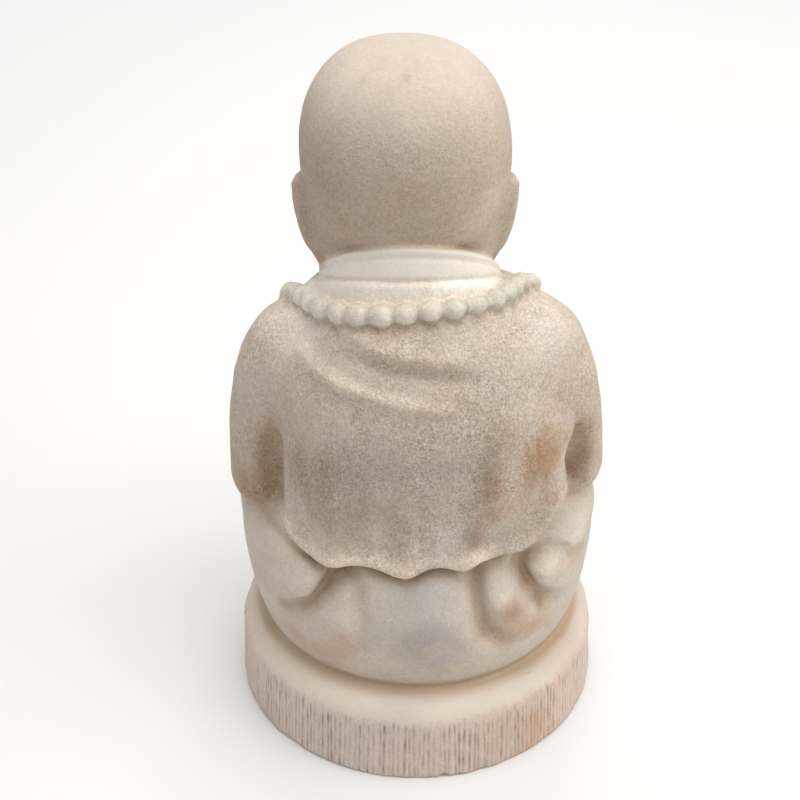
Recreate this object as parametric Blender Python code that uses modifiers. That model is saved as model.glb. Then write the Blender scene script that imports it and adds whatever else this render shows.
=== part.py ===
"""A child monk seated in meditation on a round plinth, one concrete casting.

Z is up, the figure faces -Y, the origin is the middle of the plinth's underside. The named sizes are in
millimetres and MM turns them into metres. The masses are blocked out with primitives, remeshed into one skin,
and the skin is moved onto the surface that the functions below describe.
"""

import bmesh
import bpy
import numpy as np
from mathutils import Vector

MM = 0.001

# ---------------------------------------------------------------- named sizes, millimetres
PLINTH_R = 130.0
PLINTH_H = 58.0
PLINTH_ROUND = 13.0
PLINTH_TAPER = 0.05
SEAT_Y = -15.0                      # centre of the seated mass, in front of the plinth's axis
LEAN = 9.0                          # how far the head sits to the statue's left
HEAD_C = (9.0, -22.0, 419.0)
HEAD_R = (68.4, 66.0, 72.0)
HEAD_N = 2.3
# shoulder, middle of the upper arm and elbow with their radii; statue's left, then right
ARMS = (((83.0, 1.0, 280.0, 33.0), (94.5, -3.0, 240.0, 34.5), (98.5, -10.0, 171.0, 34.0)),
        ((-80.0, 1.0, 280.0, 33.0), (-91.0, -3.0, 240.0, 34.0), (-98.0, -10.0, 182.0, 33.0)))
PANEL_EDGE = (92.5, 103.0)          # where the back of the jacket stops, statue's left and right
# groove between the back of the jacket and each sleeve
RECESS = (((95, 38, 250), (97, 31, 222), (98, 25, 198), (98, 28, 178)), ((-105, 36, 246), (-107, 27, 220), (-108, 20, 196), (-107, 21, 182)))
WRIST = (36.0, -82.0, 139.0, 17.0)
BEAD_R = 6.9
BEAD_PITCH = 15.4

# height, half width, depth behind, depth in front of the section's centre
LOWER = ((40, 112, 111, 96), (58, 113.5, 113, 100), (66, 116, 117, 103), (78, 119.5, 120, 106), (92, 122.5, 121.5, 106),
         (106, 124.5, 121.5, 102), (120, 126, 119, 90), (135, 126.5, 113.5, 70), (150, 126.5, 107, 58),
         (160, 121.0, 100, 50), (170, 108, 93, 46), (182, 92, 82, 40), (200, 80, 74, 34))
TORSO = ((140, 100, 97, 72), (150, 100.5, 96.5, 73), (165, 99.5, 93, 74), (180, 98.5, 91, 74), (200, 98, 88.5, 73),
         (220, 98, 87, 71), (240, 98, 85, 69), (260, 97.5, 83, 67), (280, 96, 79, 64), (300, 91, 74, 59),
         (315, 79, 69, 52), (330, 67, 61, 45), (345, 57, 52, 41), (360, 50, 46, 38), (378, 40, 40, 36))

# folds of the jacket's back: ends x,z and x,z, sag, height, half width
BACK_FOLDS = ((52, 328, -34, 313, -2.0, 2.4, 5.5),
              (46, 312, -48, 299, -1.5, -3.3, 5.5),
              (76, 303, -30, 281, -2.0, 4.2, 5.2),
              (66, 276, -10, 262, -3.0, 0.9, 8.0),
              (-15, 318, -64, 326, -3.0, 1.3, 6.5))
FLUTES = ((60, 3.2, 10.0), (6, 4.6, 9.0), (-34, 2.6, 8.0), (-70, 3.0, 9.0))      # x, height, half width
HEM = ((66, 8.0, 18), (13, 6.2, 16), (-28, 3.0, 9), (-113, -33.0, 25), (84, 2.6, 10), (-58, -3.0, 18))   # x, drop, half width
# creases of the lower robe seen from behind: a path x,z and its depth and half width; then soft swellings
LOWER_FOLDS = (((54, 151), (63, 135), (72, 121), (92, 104), -11.0, 6.0),
               ((74, 152), (85, 145), (96, 138), (108, 130), -2.6, 5.5),
               ((44, 152), (40, 140), (38, 124), (38, 96), -5.0, 6.0),
               ((-67, 150), (-73, 136), (-80, 124), (-95, 108), -10.5, 6.0),
               ((-38, 150), (-40, 135), (-43, 114), (-56, 95), -9.0, 6.5),
               ((-75, 153), (-87, 153), (-100, 145), (-114, 127), -6.5, 5.0))
LOWER_BULGES = ((81, 137, 5.5, 14), (-90, 141, 6.5, 10), (-110, 150, 4.0, 10), (-57, 130, 4.5, 11), (-78, 97, 4.5, 15),
                (-1, 125, 3.0, 28), (57, 116, 3.0, 10))
# creases of the cloth over the crossed legs in front, x,z paths
SHIN_FOLDS = (((-70, 108), (-38, 99), (4, 99), (40, 108), -1.8, 4.0),
              ((-84, 96), (-48, 84), (-6, 80), (30, 84), -2.2, 4.5),
              ((66, 100), (46, 88), (20, 76), (-8, 70), -2.2, 4.0),
              ((88, 90), (70, 78), (44, 70), (20, 67), -1.8, 4.0))


def smin(a, b, k):
    h = np.clip(0.5 + 0.5 * (b - a) / k, 0.0, 1.0)
    return b + (a - b) * h - k * h * (1 - h)


def smax(a, b, k):
    h = np.clip(0.5 - 0.5 * (b - a) / k, 0.0, 1.0)
    return b + (a - b) * h + k * h * (1 - h)


def step(x, a, b):
    t = np.clip((x - a) / (b - a), 0.0, 1.0)
    return t * t * (3 - 2 * t)


def bell(x, w):
    return np.exp(-(x / w) ** 2)


def near(p, lo, hi):
    """Indices of the points inside a box."""
    m = (p[0] > lo[0]) & (p[0] < hi[0]) & (p[1] > lo[1]) & (p[1] < hi[1]) & (p[2] > lo[2]) & (p[2] < hi[2])
    return np.flatnonzero(m)


def part_of(p, i):
    return p[0][i], p[1][i], p[2][i]


def ell(p, c, r):
    x, y, z = (p[0] - c[0]) / r[0], (p[1] - c[1]) / r[1], (p[2] - c[2]) / r[2]
    a = x * x
    b = y * y
    c = z * z
    k0 = np.sqrt(a + b + c) + 1e-9
    k1 = np.sqrt(a / r[0] ** 2 + b / r[1] ** 2 + c / r[2] ** 2) + 1e-9
    return k0 * (k0 - 1) / k1


def super_ell(p, c, r, n):
    x, y, z = np.abs(p[0] - c[0]), np.abs(p[1] - c[1]), np.abs(p[2] - c[2])
    s = ((x / r[0]) ** n + (y / r[1]) ** n + (z / r[2]) ** n) ** (1 / n) + 1e-9
    return (s - 1) * np.sqrt(x * x + y * y + z * z) / s


def cap(p, a, b, ra, rb=None):
    """Tapered bar with round ends."""
    rb = ra if rb is None else rb
    ux, uy, uz = b[0] - a[0], b[1] - a[1], b[2] - a[2]
    x, y, z = p[0] - a[0], p[1] - a[1], p[2] - a[2]
    t = np.clip((x * ux + y * uy + z * uz) / (ux * ux + uy * uy + uz * uz), 0, 1)
    x = x - t * ux
    y = y - t * uy
    z = z - t * uz
    return np.sqrt(x * x + y * y + z * z) - (ra + (rb - ra) * t)


def chain(p, pts, r):
    r = np.broadcast_to(np.asarray(r, float), (len(pts),))
    out = None
    for i in range(len(pts) - 1):
        d = cap(p, pts[i], pts[i + 1], r[i], r[i + 1])
        out = d if out is None else np.minimum(out, d)
    return out


def arc(p0, p1, p2, n=7):
    """Points along a quadratic curve."""
    t = np.linspace(0, 1, n)[:, None]
    p0, p1, p2 = (np.asarray(v, float) for v in (p0, p1, p2))
    return (1 - t) ** 2 * p0 + 2 * t * (1 - t) * p1 + t ** 2 * p2


def turned(p, c, deg):
    a = np.radians(deg)
    x, y = p[0] - c[0], p[1] - c[1]
    return c[0] + x * np.cos(a) - y * np.sin(a), c[1] + x * np.sin(a) + y * np.cos(a), p[2]


def profile(table, z, step_mm=0.5):
    """Smooth interpolation of a table of section sizes, through a fine lookup."""
    t = np.asarray(table, float)
    zz = np.arange(t[0, 0], t[-1, 0] + step_mm, step_mm)
    zc = np.clip(zz, t[0, 0], t[-1, 0])
    i = np.clip(np.searchsorted(t[:, 0], zc, side="right") - 1, 0, len(t) - 2)
    h = t[i + 1, 0] - t[i, 0]
    u = (zc - t[i, 0]) / h
    cols = []
    for c in range(1, t.shape[1]):
        v = t[:, c]
        m = np.gradient(v, t[:, 0])
        fine = ((2 * u ** 3 - 3 * u ** 2 + 1) * v[i] + (u ** 3 - 2 * u ** 2 + u) * h * m[i]
                + (3 * u ** 2 - 2 * u ** 3) * v[i + 1] + (u ** 3 - u ** 2) * h * m[i + 1])
        cols.append(np.interp(z, zz, fine))
    return cols


def loft(p, table, cx, cy, n):
    """Level distance to a stack of superellipse sections."""
    w, b, f = profile(table, p[2])
    x = np.abs(p[0] - cx)
    y = p[1] - cy
    d = np.where(y > 0, b, f)
    y = np.abs(y)
    rho = ((x / w) ** n + (y / d) ** n) ** (1 / n) + 1e-9
    return np.where(rho < 0.2, -0.8 * np.minimum(w, d), (rho - 1) * np.sqrt(x * x + y * y) / rho)


def line_shift(z):
    return LEAN * step(z, 300, 420)


# ---------------------------------------------------------------- folds
def seg2(x, z, a, b):
    dx, dz = b[0] - a[0], b[1] - a[1]
    t = np.clip(((x - a[0]) * dx + (z - a[1]) * dz) / (dx * dx + dz * dz), 0, 1)
    return np.hypot(x - a[0] - t * dx, z - a[1] - t * dz), t


def back_relief(x, z):
    """Outward height of the folds on the jacket's back."""
    h = 0.0
    for x0, z0, x1, z1, sag, amp, w in BACK_FOLDS:
        t = (x - x0) / (x1 - x0)
        zc = z0 + (z1 - z0) * t + sag * 4 * t * (1 - t)
        h = h + amp * bell(z - zc, w) * step(t, -0.12, 0.18) * (1 - step(t, 0.62, 1.1))
    rise = 1 - step(z, 150, 255)
    for fx, amp, w in FLUTES:
        h = h + amp * (bell(x - fx * (1 - 0.10 * (z - 155) / 100), w) - 0.35 * bell(x - fx, 2.2 * w)) * rise
    return h


def hem_height(x):
    z = 161.5
    for hx, drop, w in HEM:
        z = z - drop * bell(x - hx, w)
    return z


def creases(x, z, folds, fade):
    h = 0.0
    for fold in folds:
        path, amp, w = fold[:4], fold[4], fold[5]
        dist = fad = None
        for k in range(3):
            s, t = seg2(x, z, path[k], path[k + 1])
            f = fade[k] + (fade[k + 1] - fade[k]) * t
            if dist is None:
                dist, fad = s, f
            else:
                m = s < dist
                dist = np.where(m, s, dist)
                fad = np.where(m, f, fad)
        h = h + amp * bell(dist, w) * fad
    return h


def lower_relief(x, z):
    h = creases(x, z, LOWER_FOLDS, (1.0, 0.9, 0.72, 0.35))
    for bx, bz, amp, w in LOWER_BULGES:
        h = h + amp * bell(np.hypot(x - bx, z - bz), w)
    return h


# ---------------------------------------------------------------- masses
def plinth(p):
    r = np.hypot(p[0], p[1]) + PLINTH_TAPER * p[2]
    qx = r - (PLINTH_R - PLINTH_ROUND)
    qz = p[2] - (PLINTH_H - PLINTH_ROUND)
    d = np.hypot(np.maximum(qx, 0), np.maximum(qz, 0)) + np.minimum(np.maximum(qx, qz), 0) - PLINTH_ROUND
    return smax(d, -p[2] - 8.0, 2.0)


def robe(p):
    x, y, z = p
    d = loft(p, LOWER, 0.0, SEAT_Y, 2.0)
    d = d - lower_relief(x, z) * step(y, -10, 30) * step(z, 66, 86)
    d = d + 3.2 * bell(z - hem_height(x) + 1.0, 6.5) * step(y, 0, 25)
    d = smax(d, z - 188, 20)
    d = smax(d, 45 - z, 4)
    # crossed legs under the cloth in front
    i = near(p, (-170, -150, 20), (170, 60, 170))
    q = part_of(p, i)
    e = d[i]
    for s in (-1, 1):
        e = smin(e, cap(q, (s * 50, 0, 92), (s * 84, -38, 90), 38, 35), 10)
    e = smin(e, cap(q, (82, -50, 85), (-30, -86, 77), 30, 21), 8)
    e = smin(e, cap(q, (-82, -50, 87), (24, -93, 84), 30, 21), 5)
    e = e - creases(q[0], q[2], SHIN_FOLDS, (0.4, 1.0, 1.0, 0.4)) * step(-q[1], 45, 70)
    d[i] = e
    return d


def collar_low(y):
    return 336.0 + 0.52 * y


def lapels(x, y, z):
    """Height of the crossed front edges of the jacket and of the sash."""
    # u runs across each edge, away from the neck
    u = ((x - 56) * 167 - (z - 345) * 118) / 204.5
    v = (-(x + 40) * 167 - (z - 345) * 118) / 204.5
    left = step(u, -9.5, -6.5) * (3.6 - 2.0 * step(u, 7.0, 9.5)) - 0.9 * bell(u - 4.5, 1.4)
    right = step(v, -9.5, -6.5) * (2.2 - 1.6 * step(v, 7.0, 9.5)) - 0.7 * bell(v - 4.5, 1.4)
    h = smax(left, right - 4.0 * step(u, -11, -8), 0.6)
    t = z - 172 - 0.0006 * x * x
    sash = 5.0 * (1 - step(np.abs(t), 8.5, 11.0)) - 0.8 * (bell(t - 3.5, 1.3) + bell(t + 3.5, 1.3))
    h = smax(h * step(z, 168, 176), sash, 1.0)
    return h * step(-y, 6, 24)


def jacket(p):
    x, y, z = p
    # behind, the cloth spreads flatter and wider on the statue's right
    spread = 12.0 * step(-x, 30, 105) * (1 - step(z, 224, 272)) * step(y, -10, 15)
    d = loft((x + spread, y, z), TORSO, line_shift(z), 0.0, 2.35)
    d = d - (back_relief(x, z) + 2.0 * bell(z - hem_height(x) - 6.0, 6.0)) * step(y, 5, 35)
    lower = 1 - step(z, 225, 262)
    side = smax(x - PANEL_EDGE[0], -x - PANEL_EDGE[1] + 4.5 * bell(z - 217, 17), 2.0)
    side = np.where(y > 4, side, -20.0) - 40 * (1 - lower)
    d = smax(d, side, 2.6)
    d = smax(d, np.where(y > -20, hem_height(x), 150.0) - z, 5.0)
    d = smax(d, (z - collar_low(y) - 2.0) * 0.88, 7.0)
    return d - lapels(x, y, z)


def arms(p, d, k):
    """Adds both arms to the distance d."""
    for s, (sh, mid, el) in zip((1, -1), ARMS):
        i = near(p, (12, -150, 70), (180, 90, 350)) if s > 0 else near(p, (-180, -150, 70), (-12, 90, 350))
        if not len(i):
            continue
        q = part_of(p, i)
        bend = [2 * m - 0.5 * (a + b) for a, m, b in zip(sh, mid, el)]
        path = arc(sh, bend, el, 6)
        up = chain(q, path[:, :3], path[:, 3])
        wr = (s * WRIST[0], WRIST[1], WRIST[2])
        fore = cap(q, (s * 96, -16, 177), wr, 26, WRIST[3] + 6)
        hang = cap(q, (s * 95, -36, 150), (s * 54, -80, 119), 25, 16)
        a = smin(up, fore, 8)
        b = smin(a, hang, 16)
        # mouth of the sleeve
        cut = (WRIST[0] - s * q[0]) * 0.84 + (WRIST[1] - q[1]) * 0.42 + (WRIST[2] - q[2]) * 0.34
        b = smax(b, cut - 4.0, 3.5)
        hollow = ell(q, (s * (WRIST[0] - 5), WRIST[1] - 3, WRIST[2] - 4), (9, 20, 16))
        b = smax(b, -hollow, 2.0)
        b = smax(b, -chain(q, RECESS[0 if s > 0 else 1], (4.0, 8.0, 10.0, 8.0)), 11.0)
        d[i] = smin(d[i], b, k[i])
    return d


def collar(p):
    x, y, z = p
    low = collar_low(y)
    top = 350 + 0.84 * (y + 1)
    t = np.clip((z - low) / np.maximum(top - low, 6.0), -0.6, 1.3)
    w = 63.5 - 10.0 * t
    b = 53.0 - 7.5 * t
    rho = np.sqrt(((x - 6) / w) ** 2 + ((y + 6) / b) ** 2) + 1e-9
    band = (rho - 1) * np.hypot(x - 6, y + 6) / rho
    lip = bell(z - top + 5.5, 2.6) * 1.3 - bell(z - top + 10.5, 2.4) * 0.7
    band = band - (lip - bell(z - low, 2.4) * 2.6) * step(y, -24, -4)
    d = smax(band, (z - top) * 0.76, 4.0)
    d = smax(d, 305 - z, 4)
    return d + 14 * step(-y, 6, 30)


def head(p):
    cx = HEAD_C[0]
    q = (p[0] - 0.02 * (p[2] - HEAD_C[2]), p[1], p[2])
    d = super_ell(q, HEAD_C, HEAD_R, HEAD_N)
    d = smin(d, super_ell(p, (cx - 0.5, -30, 378), (57.5, 52, 52), 2.2), 12)
    # thick nape, as wide as the head, down into the collar
    nape = (p[0], -12 + (p[1] + 12) * np.where(p[1] < -12, 1.5, 1.0), p[2])
    d = smin(d, super_ell(nape, (cx, -12, 366), (60.0, 34, 60), 2.4), 9)
    for s in (-1, 1):
        d = smin(d, ell(p, (cx + s * 33, -57, 384), (24, 24, 23)), 10)
    d = smin(d, ell(p, (cx, -64, 378), (26, 25.5, 21)), 12)
    return smin(d, ell(p, (cx, -70, 355), (17, 16.5, 13)), 9)


def front_of(fn, x, z):
    """Foremost y of a shape at x, z."""
    x, z = (np.asarray(v, float) for v in np.broadcast_arrays(x, z))
    a, b = np.full(x.shape, -50.0), np.full(x.shape, -125.0)
    for _ in range(24):
        y = 0.5 * (a + b)
        inside = fn((x, y, z)) < 0
        a = np.where(inside, y, a)
        b = np.where(inside, b, y)
    return a


def laid(fn, pts, sink=0.0):
    """Points x from the face's middle, z, laid on a shape and sunk into it."""
    pts = np.asarray(pts, float)
    x = HEAD_C[0] + pts[:, 0]
    return np.stack([x, front_of(fn, x, pts[:, 1]) + sink, pts[:, 1]], -1)


def curve2(a, b, c, n=7):
    return arc(a + (0,), b + (0,), c + (0,), n)[:, :2]


EYE_Z, MOUTH_Z = 407.0, 373.5
KEEP = {}


def kept(name, make):
    if name not in KEEP:
        KEEP[name] = make()
    return KEEP[name]


def face_masses(p):
    """Head with sockets, closed eyes and nose."""
    cx = HEAD_C[0]
    d = head(p)
    eyes = kept("eyes", lambda: laid(head, ((-25, EYE_Z), (25, EYE_Z))))
    for e in eyes:
        d = smax(d, -ell(p, (e[0], e[1] - 7.0, EYE_Z + 3.5), (18, 12, 11)), 11)
    for e in eyes:
        d = smin(d, ell(p, (e[0], e[1] + 12.2, EYE_Z), (15.5, 12.0, 9.5)), 3.5)
    n = kept("nose", lambda: laid(head, ((0, EYE_Z + 8), (0, 388.0))))
    bridge, tip = n[0, 1] + 2.5, n[1, 1] - 5.0
    path = ((cx, bridge, EYE_Z + 9), (cx, 0.45 * bridge + 0.55 * tip + 1.2, 398), (cx, tip, 389.5))
    d = smin(d, chain(p, path, (3.6, 4.2, 5.4)), 6)
    for s in (-1, 1):
        d = smin(d, ell(p, (cx + s * 7.0, tip + 5.5, 387.5), (4.6, 6.0, 4.2)), 3.0)
    return d


def face(p, fine):
    cx = HEAD_C[0]
    d = face_masses(p)
    brows = kept("brows", lambda: [laid(face_masses, curve2((s * 9, EYE_Z + 13.5), (s * 25, EYE_Z + 24), (s * 43, EYE_Z + 13)), 1.4) for s in (-1, 1)])
    for b in brows:
        d = smin(d, chain(p, b, (1.0, 1.7, 2.1, 2.2, 2.0, 1.6, 0.9)), 6)
    m = MOUTH_Z
    up = kept("up", lambda: laid(head, ((-13, m + 1.8), (-9, m + 2.6), (-4, m + 3.9), (0, m + 3.2), (4, m + 3.9), (9, m + 2.6), (13, m + 1.8)), 0.9))
    lo = kept("lo", lambda: laid(head, curve2((-11.5, m - 0.4), (0, m - 7.6), (11.5, m - 0.4)), 1.0))
    d = smin(d, chain(p, up, (0.6, 1.6, 2.4, 2.4, 2.4, 1.6, 0.6)), 3.5)
    d = smin(d, chain(p, lo, (0.6, 2.0, 3.0, 3.4, 3.0, 2.0, 0.6)), 3.5)
    if not fine:
        return d
    lids = kept("lids", lambda: [laid(face_masses, curve2((s * 11.0, EYE_Z - 1.5), (s * 25, EYE_Z - 10.0), (s * 39.5, EYE_Z - 1.5), 11), 0.15) for s in (-1, 1)])
    tops = kept("tops", lambda: [laid(face_masses, curve2((s * 12.0, EYE_Z + 4.0), (s * 25, EYE_Z + 14.0), (s * 39.0, EYE_Z + 3.5), 11), 0.25) for s in (-1, 1)])
    for line in lids:
        d = smax(d, -chain(p, line, np.array((0.5, 0.9, 1.1, 1.2, 1.25, 1.25, 1.25, 1.2, 1.1, 0.9, 0.5))), 1.2)
    for line in tops:
        d = smax(d, -chain(p, line, np.array((0.3, 0.5, 0.7, 0.8, 0.8, 0.8, 0.8, 0.8, 0.7, 0.5, 0.3))), 1.6)
    tip = KEEP["nose"][1, 1] - 5.0
    for s in (-1, 1):
        d = smax(d, -ell(p, (cx + s * 4.0, tip + 1.0, 383.2), (1.8, 2.6, 1.8)), 1.4)
        d = smax(d, -ell(p, (cx + s * 16.5, front_cached("corner"), m + 2.6), (2.2, 2.6, 2.2)), 3.0)
    gap = kept("gap", lambda: laid(head, ((-16, m + 2.6), (-11, m + 1.0), (-5, m + 0.7), (0, m + 0.2), (5, m + 0.7), (11, m + 1.0), (16, m + 2.6)), -0.6)
               + np.array([(0, 1.2, 0), (0, 0.2, 0), (0, -0.9, 0), (0, -1.1, 0), (0, -0.9, 0), (0, 0.2, 0), (0, 1.2, 0)]))
    d = smax(d, -chain(p, gap, (0.5, 0.9, 1.1, 1.1, 1.1, 0.9, 0.5)), 1.4)
    ph = kept("philtrum", lambda: laid(head, ((0, m + 9.0), (0, m + 5.8)), -0.7))
    return smax(d, -cap(p, ph[0], ph[1], 1.5), 2.4)


def front_cached(name):
    return kept(name, lambda: laid(head, ((16.5, MOUTH_Z + 2.6),), -0.4))[0, 1]


def ears(p):
    q = (np.abs(p[0] - HEAD_C[0]) - 0.09 * (p[2] - 392), p[1], p[2])
    top = (63.0, -20, 371)
    e = ell(turned(q, top, 22.0), top, (5.0, 16.0, 24.0))
    e = smin(e, ell(q, (58.5, -26, 350.0), (5.5, 9.0, 13.0)), 8)
    rim = np.vstack([arc((63, -35, 378), (65.5, -31, 404), (70.0, -12, 398.5), 6), arc((70.0, -12, 398.5), (71.5, 2, 371), (60.0, -22, 341), 7)[1:]])
    e = smin(e, chain(q, rim, np.interp(np.arange(12), (0, 5, 9, 11), (2.0, 3.0, 3.1, 3.9))), 3.0)
    e = smax(e, -ell(turned(q, (68.0, -21, 373), 22.0), (68.0, -21, 373), (5.0, 9.5, 15.0)), 3.0)
    e = smin(e, chain(q, arc((66, -28, 388), (70.5, -13, 388), (65.5, -14, 360)), 1.8), 2.2)
    return smin(e, ell(q, (61.5, -34, 367), (4.0, 3.5, 6.0)), 3.0)


def hands(p):
    """Hands laid one in the other, palms up, thumbs meeting."""
    d = None
    for s, dz in ((1, -3.0), (-1, 7.5)):
        h = smin(cap(p, (s * 46, -78, 137 + dz * 0.3), (s * 26, -92, 128 + dz), 14.0, 12.5),
                 ell(p, (s * 17, -96, 124.5 + dz), (19, 17.0, 8.8)), 7)
        for i, length in enumerate((25, 29, 27, 20)):
            y0 = -109.0 + 8.8 * i
            a = (s * 6, y0 + 0.5, 124.4 + dz)
            b = (-s * (0.55 * length - 4), y0 + 1.0 + 0.2 * i, 125.4 + dz)
            c = (-s * (length - 5), y0 + 2.0 + 0.5 * i, 122.6 + dz)
            h = smin(h, chain(p, (a, b, c), (6.4, 6.0, 5.3)), 1.6)
        thumb = arc((s * 30, -103, 128 + dz), (s * 18, -114, 143 + 0.35 * dz), (s * 3.2, -106.5, 147.5), 5)
        h = smin(h, chain(p, thumb, (8.0, 7.4, 6.4, 6.0, 5.4)), 4.0)
        d = h if d is None else smin(d, h, 1.2)
    return d


def arm_blend(z):
    return 2.0 + 16.0 * step(z, 220, 295)


def add(d, p, lo, hi, fn, k):
    i = near(p, lo, hi)
    if len(i):
        d[i] = smin(d[i], fn(part_of(p, i)), k)
    return d


def bead_height(phi):
    s, c = np.sin(phi), np.cos(phi)
    side = 320.0 - 4.0 * c
    return np.where(s >= 0, side + (342.0 - side) * np.abs(s) ** (0.72 + 0.10 * c) - 5.5 * c * s, side - 68.0 * np.abs(s) ** 1.15)


def bead_centres():
    cx, cy = 4.0, -10.0
    phi = np.radians(np.arange(0, 360, 0.5))
    z = bead_height(phi)

    def cloth(q):
        return arms(q, jacket(q), arm_blend(q[2]))
    lo = np.full(phi.shape, 20.0)
    hi = np.full(phi.shape, 150.0)
    for _ in range(26):
        r = 0.5 * (lo + hi)
        inside = cloth((cx + r * np.cos(phi), cy + r * np.sin(phi), z)) < 0
        lo = np.where(inside, r, lo)
        hi = np.where(inside, hi, r)
    path = np.stack([cx + lo * np.cos(phi), cy + lo * np.sin(phi), z], -1)
    s = np.concatenate([[0], np.cumsum(np.linalg.norm(np.roll(path, -1, 0) - path, axis=1))])
    n = int(round(s[-1] / BEAD_PITCH))
    want = (np.arange(n) + 0.25) * s[-1] / n
    closed = np.vstack([path, path[:1]])
    c = np.stack([np.interp(want, s, closed[:, i]) for i in range(3)], -1)
    g = np.stack([cloth(tuple((c + o).T)) - cloth(tuple((c - o).T)) for o in np.eye(3) * 0.5], -1)
    return c + g / np.linalg.norm(g, axis=1)[:, None] * (1.2 - 1.6 * bell(c[:, 1:2] + 18, 16) * (c[:, :1] > 0))


def design(v, fine=True):
    """Distance, near the surface, to the whole casting; v is n by 3 in millimetres."""
    p = tuple(np.ascontiguousarray(v[:, i], dtype=np.float64) for i in range(3))
    n = len(v)
    d = np.full(n, 60.0)
    i = near(p, (-200, -200, 110), (200, 200, 420))
    if len(i):
        q = part_of(p, i)
        d[i] = arms(q, jacket(q), arm_blend(q[2]))
    d = add(d, p, (-200, -200, 0), (200, 200, 230), robe, 3.0)
    d = add(d, p, (-100, -100, 280), (110, 100, 430), collar, 2.5)
    i = near(p, (-100, -130, 290), (120, 90, 530))
    if len(i):
        q = part_of(p, i)
        h = np.full(len(i), 60.0)
        f = near(q, (-200, -200, 310), (200, 200, 600))
        if len(f):
            h[f] = head(part_of(q, f))
        f = near(q, (-60, -200, 325), (80, -45, 460))
        if len(f):
            h[f] = face(part_of(q, f), fine)
        f = near(q, (-90, -60, 315), (110, 30, 425))
        if len(f):
            h[f] = smin(h[f], ears(part_of(q, f)), 3.0 + 8.0 * step(q[1][f], -22, -6))
        neck = cap(q, (7, -8, 330), (8, -16, 366), 42, 42)
        d[i] = smin(d[i], smin(h, neck, 6), 2.2)
    d = add(d, p, (-75, -140, 90), (75, -60, 175), hands, 1.5)
    d = add(d, p, (-200, -200, -40), (200, 200, 90), plinth, 5.0)
    beads = kept("beads", bead_centres)
    i = near(p, (-120, -120, 220), (120, 90, 375))
    if len(i):
        q = part_of(p, i)
        b = np.full(len(i), 30.0)
        for j, c in enumerate(beads):
            r = BEAD_R + 0.45 * np.sin(j * 2.4) + 0.5 * np.clip(c[0] / 60, -1, 1)
            f = near(q, c - 22, c + 22)
            ball = np.sqrt((q[0][f] - c[0]) ** 2 + (q[1][f] - c[1]) ** 2 + (q[2][f] - c[2]) ** 2) - r
            # worn together along the back's left, apart elsewhere
            b[f] = smin(b[f], ball, 1.2 + 4.3 * step(c[0], -25, 12) * step(c[1], -5, 25))
            after = beads[(j + 1) % len(beads)]
            b[f] = smin(b[f], cap(part_of(q, f), c, after, 4.2), 2.0)
        d[i] = smin(d[i], b, 3.0)
    return d


# ---------------------------------------------------------------- solid
STATUE = "child_monk_statue"
COLLECTION = "concrete_buddha_statue"
CONCRETE = (0.60, 0.52, 0.42, 1.0)
ROUGHNESS = 0.85
CELLS = (0.006, 0.0045, 0.0034)     # remesh cell of each round
TRIANGLES = 9300


def clear():
    for ob in list(bpy.data.objects):
        bpy.data.objects.remove(ob, do_unlink=True)
    for group in (bpy.data.meshes, bpy.data.materials, bpy.data.collections):
        for item in list(group):
            group.remove(item)


def ball(centre, radii):
    bpy.ops.mesh.primitive_uv_sphere_add(segments=32, ring_count=20, radius=1.0,
                                         location=[v * MM for v in centre])
    ob = bpy.context.object
    ob.scale = [r * MM for r in radii]
    return ob


def limb(a, b, ra, rb):
    """A tapered bar between two balls."""
    a, b = Vector(a), Vector(b)
    made = [ball(a, (ra, ra, ra)), ball(b, (rb, rb, rb))]
    bpy.ops.mesh.primitive_cone_add(vertices=32, radius1=ra * MM, radius2=rb * MM, depth=(b - a).length * MM,
                                    location=(a + b) * 0.5 * MM)
    ob = bpy.context.object
    ob.rotation_mode = "QUATERNION"
    ob.rotation_quaternion = (b - a).to_track_quat("Z", "Y")
    return made + [ob]


def drum(table, y0, x0=0.0):
    """Elliptical slices of a profile table, one low cone between each pair."""
    made = []
    for (z0, w0, b0, f0), (z1, w1, b1, f1) in zip(table[:-1], table[1:]):
        d0, d1 = 0.5 * (b0 + f0), 0.5 * (b1 + f1)
        bpy.ops.mesh.primitive_cone_add(vertices=64, radius1=1.0, radius2=w1 / w0, depth=(z1 - z0 + 1.0) * MM,
                                        location=(x0 * MM, (y0 + 0.25 * (b0 + b1 - f0 - f1)) * MM, 0.5 * (z0 + z1) * MM))
        ob = bpy.context.object
        ob.scale = (w0 * MM, 0.5 * (d0 + d1 * w0 / w1) * MM, 1.0)
        made.append(ob)
    return made


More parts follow.
